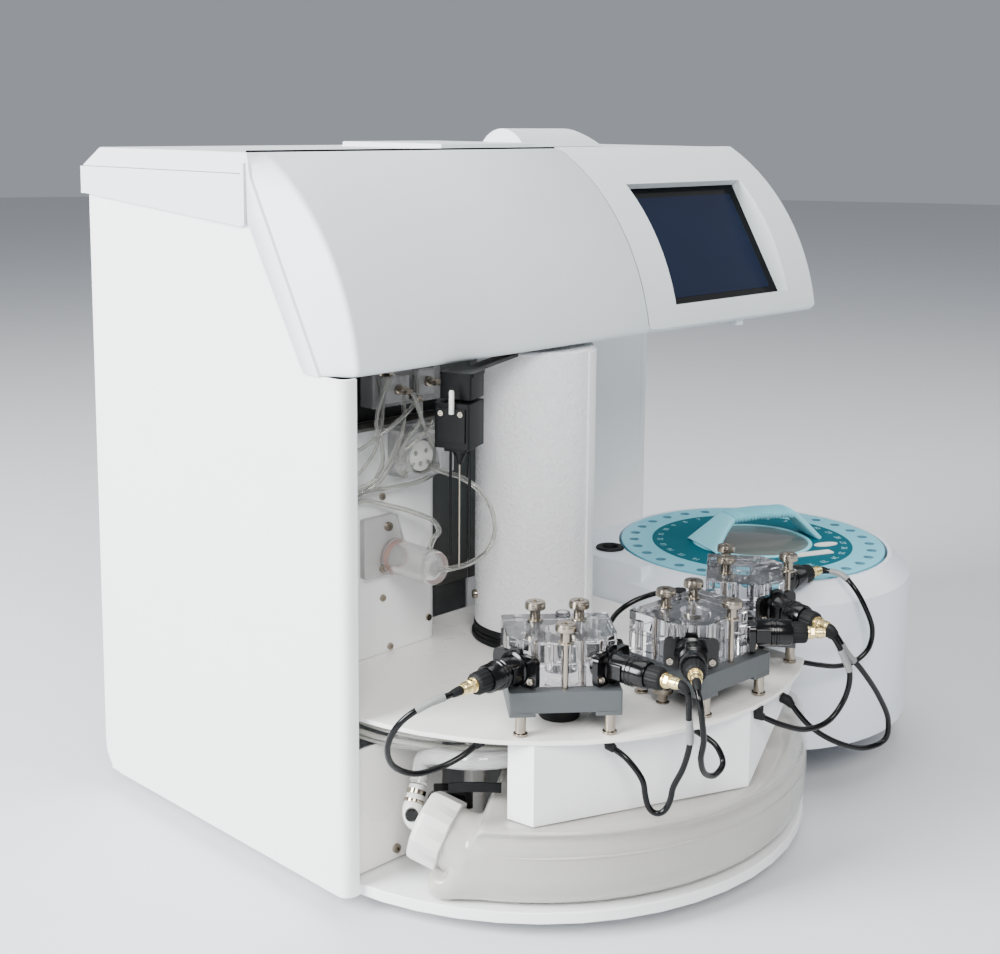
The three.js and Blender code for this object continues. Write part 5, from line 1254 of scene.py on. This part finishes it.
def tankBody():
    # a closed section swept round the deck's axis: a low toe under the cap, the ledge, then the climb
    angles = np.linspace(tank["from"], tank["to"], tank["steps"])
    climb = np.clip((angles - tank["climbFrom"]) / (tank["climbTo"] - tank["climbFrom"]), 0, 1)
    climb = (climb ** 2 * (3 - 2 * climb))[:, None, None]
    low, high = (softened(tank[k], tank["softness"], 3) for k in ("low", "high"))
    section = low * (1 - climb) + high * climb - np.array([0, tank["floor"]])
    fromEnd = np.minimum(angles - tank["from"], tank["to"] - angles) / tank["endRound"]
    swell = np.sqrt(1 - (1 - np.clip(fromEnd, tank["thinnest"], 1)) ** 2)[:, None, None]
    heart = np.array(tank["heart"])
    section = heart + (section - heart) * swell
    toe = np.interp(angles, [tank["toeFrom"], tank["toeTo"]], [tank["toe"], 1])[:, None]
    height = tank["floor"] + np.maximum(section[..., 1], 0) * toe
    turn = np.radians(angles)[:, None]
    grid = np.stack([section[..., 0] * np.cos(turn), section[..., 0] * np.sin(turn), height], -1)
    return shifted(capped(grid, grid[0].mean(0), grid[-1].mean(0)), turnAxis)


def makeTankBottle():
    # body and neck become one blown skin: remeshed, smoothed and given a wall
    neck = aimed(lathe(tank["neck"], 64), capSpot, capAxis)
    bottle = makePiece("tank_bottle", combine(tankBody(), neck), "milkyHdpe", "cabinet", ("waste_tank",))
    changes = {"REMESH": {"mode": "VOXEL", "voxel_size": tank["voxel"], "use_smooth_shade": True},
               "SMOOTH": {"factor": 0.5, "iterations": 5},
               "SOLIDIFY": {"thickness": tank["wall"] * millimetre, "offset": -1.0}}
    for kind, settings in changes.items():
        change = bottle.modifiers.new(kind.lower(), kind)
        for key, value in settings.items():
            setattr(change, key, value)


def makeBead(name, facts):
    # a rib blown into the tank's wall: a tube on an arc, which swells from nothing at both ends
    count = beadRun["points"]
    turn = np.radians(np.linspace(beadRun["from"], facts["to"], count))
    way = np.stack([facts["reach"] * np.cos(turn), facts["reach"] * np.sin(turn),
                    np.full(count, facts["height"])], -1)
    fromEnd = np.minimum(np.arange(count), np.arange(count)[::-1]) / beadRun["taper"]
    swell = np.sqrt(np.clip(fromEnd, beadRun["thinnest"], 1))
    makePiece(f"tank_bead_{name}", shifted(tube(way, facts["radius"] * swell, 16), turnAxis), "milkyHdpe",
              "cabinet")


def makeBracket():
    # the folded plate at the tank's left end, with one large round, and its screw
    (x0, y0, z0), (x1, y1, z1) = (inDrawing(c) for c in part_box("side_bracket"))
    edge = softened(rectangle(x0, x1, z0 + bracket["lift"], z1), bracket["rounds"], bracket["roundSteps"])
    makePiece("tank_bracket", alongY(edge, y0, y1), "deckPowderCoat", "cabinet", ("side_bracket",),
              bevel=0.3)
    screw = (bracket["screwX"], y0 + bracket["sunk"], bracket["screwZ"])
    screwRow("tank_bracket_screw", [(screw, (0, -1, 0))], bracket["screwRadius"], bracket["screwHeight"])


makeTankBottle()
for name, facts in beads.items():
    makeBead(name, facts)
makeBracket()

# Cap, elbow and clips of the tank; the profiles' heights run along the cap's axis from capSpot
cap = {
    # radius, height and share of the flat: a skirt with eight flats, a rounded shoulder and a raised ring
    "profile": [(20.6, -11, 0), (23.0, -11, 0.9), (23.9, -10.2, 1), (23.9, 6.5, 1), (23.2, 9.2, 1),
                (21.2, 10.6, 0.8), (13.5, 11, 0), (13.0, 12.2, 0), (9.0, 12.2, 0), (8.6, 11.0, 0),
                (7.4, 11.0, 0), (7.4, 8, 0), (20.6, 7.6, 0)],
    "flats": 8, "sides": 160,
}
elbow = {
    # distances along the cap's axis, then along the rise from the knee to the hose
    "alongCap": (3, 10, 15.5), "kneeAt": 19, "outlet": (50.0, -14.0, 82.0), "riseBy": 4.5, "aside": -0.5,
    "riser": 12, "spacing": 0.8, "sides": 36,
    "radiusShares": [0, 0.35, 0.55, 0.7, 1], "radii": [7, 7, 6.8, 6.0, 5.4],
    "clipInner": 5.6, "clipOuter": 6.7, "clips": ((4.5, 1.6), (10.5, 1.2)),   # distance back, half width
    "knob": [(0, 0), (2.6, 0), (2.6, 3), (4.2, 3.6), (4.4, 6.8), (3.6, 8.0), (0, 8.2)],
    "knobSpot": (38, -20.5, 70), "knobWay": (-0.55, -0.75, 0.1),
}
strap = {"route": [(56, -37, 86), (62, -44, 87), (70, -52, 87), (80, -62, 86.5)], "spacing": 1.5,
         "half": 0.8, "halfHeight": 3.2}
levelSwitch = {"block": (-13, 13, -6, 6, 66, 79), "spot": (70, -27), "turn": -42,
               "stub": [(0, 0), (4.6, 0), (4.6, 9), (3.2, 10), (3.2, 15), (0, 15)],
               "stubSpot": (58, -22, 74), "stubWay": (-0.6, -0.6, 0.2)}


def capShell():
    # the radius is cut back to a flat over each eighth: by one minus cos(half an eighth) over cos(angle)
    radii, heights, share = np.array(cap["profile"]).T
    a = np.linspace(0, 2 * math.pi, cap["sides"], endpoint=False)[:, None]
    sector = 2 * math.pi / cap["flats"]
    flat = 1 - math.cos(sector / 2) / np.cos(np.mod(a, sector) - sector / 2)
    reach = radii * (1 - flat * share)
    grid = np.stack([reach * np.cos(a), reach * np.sin(a), np.broadcast_to(heights, reach.shape)], -1)
    return aimed((grid.reshape(-1, 3), gridFaces(len(a), len(radii), True, True)), capSpot, capAxis)


def makeElbow():
    # a pipe that leaves the cap, bends at its knee and narrows to the hose; two clips and a vent knob
    e = elbow
    knee, outlet = capSpot + capAxis * e["kneeAt"], np.array(e["outlet"])
    rising = unit(outlet - knee)
    spots = [capSpot + capAxis * d for d in e["alongCap"]]
    spots += [knee + rising * e["riseBy"] + capAxis * e["aside"], knee + rising * e["riser"], outlet]
    route = curveThrough(spots, e["spacing"])
    radii = np.interp(np.linspace(0, 1, len(route)), e["radiusShares"], e["radii"])
    makePiece("elbow_pipe", tube(route, radii, e["sides"]), "naturalPolypropylene", "cabinet",
              ("cap_elbow",))
    clips = [aimed(lathe(rectangle(e["clipInner"], e["clipOuter"], -half, half), 40, True),
                   outlet - rising * back, rising) for back, half in e["clips"]]
    makePiece("elbow_clips", combine(*clips), "nickelPlate", "cabinet", bevel=0.2)
    knob = aimed(lathe(e["knob"], 32), e["knobSpot"], e["knobWay"])
    makePiece("elbow_vent_knob", knob, "blackAbs", "cabinet")


def strapBand(facts):
    # four lines beside a path, joined to a flat band with closed ends
    path = curveThrough(facts["route"], facts["spacing"])
    count, half, tall = len(path), facts["half"], facts["halfHeight"]
    corners = ((half, tall), (-half, tall), (-half, -tall), (half, -tall))
    points = np.concatenate([path + np.array([a, a, b]) for a, b in corners])
    starts = np.arange(4) * count
    return points, gridFaces(4, count, True) + [starts.tolist(), (starts + count - 1).tolist()]


def makeLevelSwitch(facts):
    # a block that stands turned behind the neck, with a stepped stub
    block = spun(shifted(box(*facts["block"]), (*facts["spot"], 0)), facts["turn"], facts["spot"])
    stub = aimed(lathe(facts["stub"], 28), facts["stubSpot"], facts["stubWay"])
    makePiece("tank_level_switch", combine(block, stub), "blackAbs", "cabinet", bevel=0.8)


makePiece("tank_cap_shell", capShell(), "naturalPolypropylene", "tank_cap", ("tank_cap",), smooth=40)
makeElbow()
makePiece("tank_strap", strapBand(strap), "blackRubber", "cabinet", bevel=0.3)
makeLevelSwitch(levelSwitch)
print("tank made")

# Valve panel in the recess: screws, shelf, valve block and its fittings
recess = {
    "panelScrews": [(105, 84, 250), (105, 84, 175), (112, 84, 137), (150, 84, 150), (150, 84, 300)],
    "panelScrewRadius": 2.6, "panelScrewHeight": 1.6,
    "backing": (21, 157, 82.2, 83.8, 307, 352), "shelf": (20, 157, 66, 83.8, 304.2, 306.4),
    "sideWidth": 32, "sideThick": 1.0, "gap": 0.1,
    "block": [(84, 148, 69, 83.7, 318, 349), (90, 112, 62, 69.5, 322, 340), (122, 140, 64, 69.5, 324, 342)],
    "barb": [(0, 0), (3.6, 0), (3.6, 2.4), (2.4, 2.8), (2.4, 6.0), (3.0, 6.6), (1.9, 9.6), (1.9, 10.6),
             (2.6, 11.2), (1.5, 14), (0, 14)],
    "barbs": [((141, 83, 271), (0.2, -1, -0.1)), ((146, 83, 288), (0.1, -1, 0.1)),
              ((101, 62, 331), (0, -1, 0)), ((131, 64, 333), (0, -1, 0.1)),
              ((92, 69, 344), (-0.2, -1, 0)), ((116, 69, 325), (0.1, -1, -0.2))],
}
# Pump and bubble cylinder: x and z of the axis, radii, and y of each part's front and back
pump = {"x": 125, "z": 280, "disc": 11, "rim": 10.6, "axle": 3.0, "front": 64, "rimFront": 72, "floor": 77.7,
        "axleFront": 76, "axleBack": 82, "socket": 2.0, "socketReach": 5.8, "socketAngles": (0.6, 2.7, 4.6),
        "socketFront": 71.2, "socketBack": 72.2}
bubble = {
    "x": 112, "z": 206,
    "plate": [(84, 193.5), (117, 193.5), (122, 199), (122, 215), (115, 237), (84, 237)],
    "plateRounds": [1.5, 3, 4, 4, 3, 1.5], "plateFront": 78.9, "plateBack": 83.6,
    # radius and y of the cylinder, of its hollow and of the gasket at its root
    "cylinder": [(0, 33), (8.5, 33), (11.2, 34.2), (12.3, 36.6), (12.5, 40), (12.5, 76), (13.4, 76.4),
                 (13.4, 78.8), (0, 78.8)],
    "hollow": [(0, 37), (5.6, 37.6), (8.2, 41), (8.2, 75), (0, 75)],
    "gasket": [(8.4, 73.5), (11.9, 73.5), (11.9, 77.4), (8.4, 77.4)],
    "screws": [(106, 79, 229), (101, 79, 199)], "screwRadius": 3.4, "screwHeight": 2.6,
}


def facingFront(spots):
    # each spot with the way to the front
    return [(spot, (0, -1, 0)) for spot in spots]


def makeValves():
    # the panel's screws, dark plates round it, the shelf, and the valve block with its barbs
    r = recess
    screwRow("valve_panel_screws", facingFront(r["panelScrews"]), r["panelScrewRadius"],
             r["panelScrewHeight"])
    makePiece("valve_backing", box(*r["backing"]), "blackAnodised", "cabinet", bevel=0.2)
    low, high = (inDrawing(c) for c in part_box("sipper_back_plate"))
    side = box(high[0] - r["gap"], high[0] + r["sideWidth"], low[1] - r["gap"] - r["sideThick"],
               low[1] - r["gap"], low[2], high[2])
    makePiece("sipper_side_plate", side, "darkEnamel", "cabinet", bevel=0.2)
    makePiece("valve_shelf", box(*r["shelf"]), "darkEnamel", "cabinet", bevel=0.3)
    makePiece("valve_block", combine(*(box(*b) for b in r["block"])), "hazyStyrene", "cabinet", bevel=0.8)
    barb = lathe(r["barb"], 24)
    makePiece("valve_fittings", combine(*(aimed(barb, at, way) for at, way in r["barbs"])), "nickelPlate",
              "cabinet")


def makePump():
    # the disc with three sockets, the part behind that closes them and its axle; black cups lie in them
    p = pump
    sockets = [circle(p["x"] + p["socketReach"] * math.cos(a), p["z"] + p["socketReach"] * math.sin(a),
                      p["socket"], 20) for a in p["socketAngles"]]
    disc = alongY(circle(p["x"], p["z"], p["disc"], 56), p["front"], p["floor"], sockets)
    rim = alongY(circle(p["x"], p["z"], p["rim"], 48), p["rimFront"], p["floor"])
    axle = alongY(circle(p["x"], p["z"], p["axle"], 24), p["axleFront"], p["axleBack"])
    makePiece("pump_disc", combine(disc, rim, axle), "naturalPolypropylene", "pump_rotor", ("pump_rotor",),
              bevel=0.5)
    cups = [alongY(s, p["socketFront"], p["socketBack"]) for s in sockets]
    makePiece("pump_sockets", combine(*cups), "blackAbs", "pump_rotor")


def lying(profile, steps, ring=False):
    # a turned shape whose axis lies along y, on the bubble cylinder's own axis
    points, faces = lathe(profile, steps, ring)
    return shifted((points[:, [0, 2, 1]], faces), (bubble["x"], 0, bubble["z"]))


def makeBubbleCylinder():
    # a hollow cylinder on its plate, with the gasket at its root and two screws
    b = bubble
    plate = alongY(softened(b["plate"], b["plateRounds"]), b["plateFront"], b["plateBack"])
    makePiece("bubble_plate", plate, "hazyStyrene", "cabinet", bevel=0.5)
    makePiece("bubble_tube", lying(b["cylinder"], 64), "hazyStyrene", "cabinet", ("bubble_cylinder",),
              cavities=lying(b["hollow"], 48))
    makePiece("bubble_gasket", lying(b["gasket"], 48, True), "orangeSilicone", "cabinet")
    screwRow("bubble_plate_screws", facingFront(b["screws"]), b["screwRadius"], b["screwHeight"])


makeValves()
makePump()
makeBubbleCylinder()

# Thin clear tubes: the radius of each, and a route through listed points
clearTubes = {
    "loop_tube": {"radius": 1.9, "route": [
        (112, 33, 206), (117, 27, 206.5), (132, 21, 209), (146, 18, 216), (153, 18, 228), (153, 21, 243),
        (149, 28, 256), (142, 40, 265), (137, 54, 268), (132, 64, 272)]},
    "vent_tube": {"radius": 1.9, "route": [
        (60, 79, 250), (84, 79.5, 251), (104, 76, 245), (122, 68, 238), (131, 58, 232), (128, 49, 227),
        (119, 45, 224), (113, 43, 218)]},
    "pump_tube": {"radius": 1.9, "route": [
        (66, 79, 259), (84, 79, 258), (110, 77, 257), (134, 73, 259), (141, 69, 264), (137, 66, 271),
        (129, 64.5, 276)]},
    "riser_a": {"radius": 1.6, "route": [
        (88, 72, 352), (90, 66, 326), (86, 63, 300), (90, 66, 280), (82, 72, 262), (66, 78, 254)]},
    "riser_b": {"radius": 1.6, "route": [
        (103, 74, 352), (106, 64, 330), (104, 60, 306), (96, 63, 284), (84, 68, 268), (68, 74, 262)]},
    "riser_c": {"radius": 1.6, "route": [
        (101, 47, 331), (106, 46, 318), (116, 52, 305), (128, 58, 291), (139, 66, 280), (142, 69, 272)]},
    "riser_d": {"radius": 1.6, "route": [
        (131, 49, 335), (134, 48, 322), (126, 51, 306), (112, 56, 294), (98, 62, 282), (88, 68, 266),
        (74, 75, 258)]},
    "riser_e": {"radius": 1.3, "route": [
        (116, 55, 323), (114, 53, 310), (104, 56, 296), (100, 60, 282), (106, 64, 270), (118, 64.5, 275)]},
    "riser_f": {"radius": 1.3, "route": [
        (92, 55, 344), (80, 52, 334), (76, 56, 314), (80, 60, 296), (74, 66, 280), (64, 72, 268)]},
    "riser_g": {"radius": 1.6, "route": [
        (120, 76, 352), (122, 66, 334), (112, 58, 320), (96, 57, 310), (82, 62, 300), (70, 70, 290)]},
    "deck_tube_a": {"radius": 1.9, "route": [
        (16, 62, 124), (20, 30, 121), (30, 2, 117), (46, -16, 113), (64, -30, 109), (84, -44, 107),
        (100, -60, 105)]},
    "deck_tube_b": {"radius": 1.9, "route": [
        (16, 58, 119), (22, 28, 116), (34, 4, 112), (50, -12, 109), (68, -26, 105), (88, -40, 104),
        (106, -54, 103)]},
    "deck_tube_c": {"radius": 1.6, "route": [
        (18, 66, 115), (26, 34, 112), (38, 10, 108), (54, -8, 105), (72, -22, 102), (92, -36, 101),
        (110, -50, 101)]},
    "deck_tube_d": {"radius": 1.6, "route": [
        (18, 50, 127), (24, 22, 125), (36, -6, 121), (52, -22, 117), (70, -36, 114), (88, -50, 111)]},
}
tubing = {"spacing": 1.5, "sides": 14, "boreShare": 0.6, "boreSides": 10}


def makeClearTube(name, facts):
    # a tube with its bore; those under the deck are the aged ones
    path = curveThrough(facts["route"], tubing["spacing"])
    bore = tube(path[1:-1], facts["radius"] * tubing["boreShare"], tubing["boreSides"])
    finish = "agedPvcTube" if name.startswith("deck") else "clearPvcTube"
    piece = makePiece(name, tube(path, facts["radius"], tubing["sides"]), finish, "cabinet", cavities=bore)


for name, facts in clearTubes.items():
    makeClearTube(name, facts)
print("recess made:", len(clearTubes), "clear tubes")

# Touch screen: the lit field lies a hair in front of the border glass, between low and high in y and z
screen = {"low": (1.36, 376.9), "high": (54.0, 467.6), "left": 334, "right": 485, "border": 8.5,
          "back": 9.0, "front": 9.25}
# Rear panel: y of its face, and x and z of the screws down its sides and across it
rear = {"y": 291.7, "sideX": (14, 483), "sideZ": (45, 165, 285, 405, 455), "acrossX": (130, 248, 366),
        "acrossZ": (30, 455), "screwRadius": 3.2, "screwHeight": 1.8}


def makeScreenField(facts):
    # a thin sheet along the glass, a border in from its edges
    low, high = np.array(facts["low"]), np.array(facts["high"])
    tall = np.linalg.norm(high - low)
    climb = (high - low) / tall
    inwards = np.array([climb[1], -climb[0]])
    border = facts["border"]
    edge = [low + climb * s + inwards * d for s, d in (
        (border, facts["back"]), (tall - border, facts["back"]), (tall - border, facts["front"]),
        (border, facts["front"]))]
    makePiece("screen_field", alongX(edge, facts["left"] + border, facts["right"] - border), "touchGlass",
              "cabinet")


makeScreenField(screen)
rearSpots = [(x, rear["y"], z) for x in rear["sideX"] for z in rear["sideZ"]]
rearSpots += [(x, rear["y"], z) for x in rear["acrossX"] for z in rear["acrossZ"]]
screwRow("rear_panel_screws", [(spot, (0, 1, 0)) for spot in rearSpots], rear["screwRadius"],
         rear["screwHeight"])
print("screen and rear screws made:", len(rearSpots), "screws")
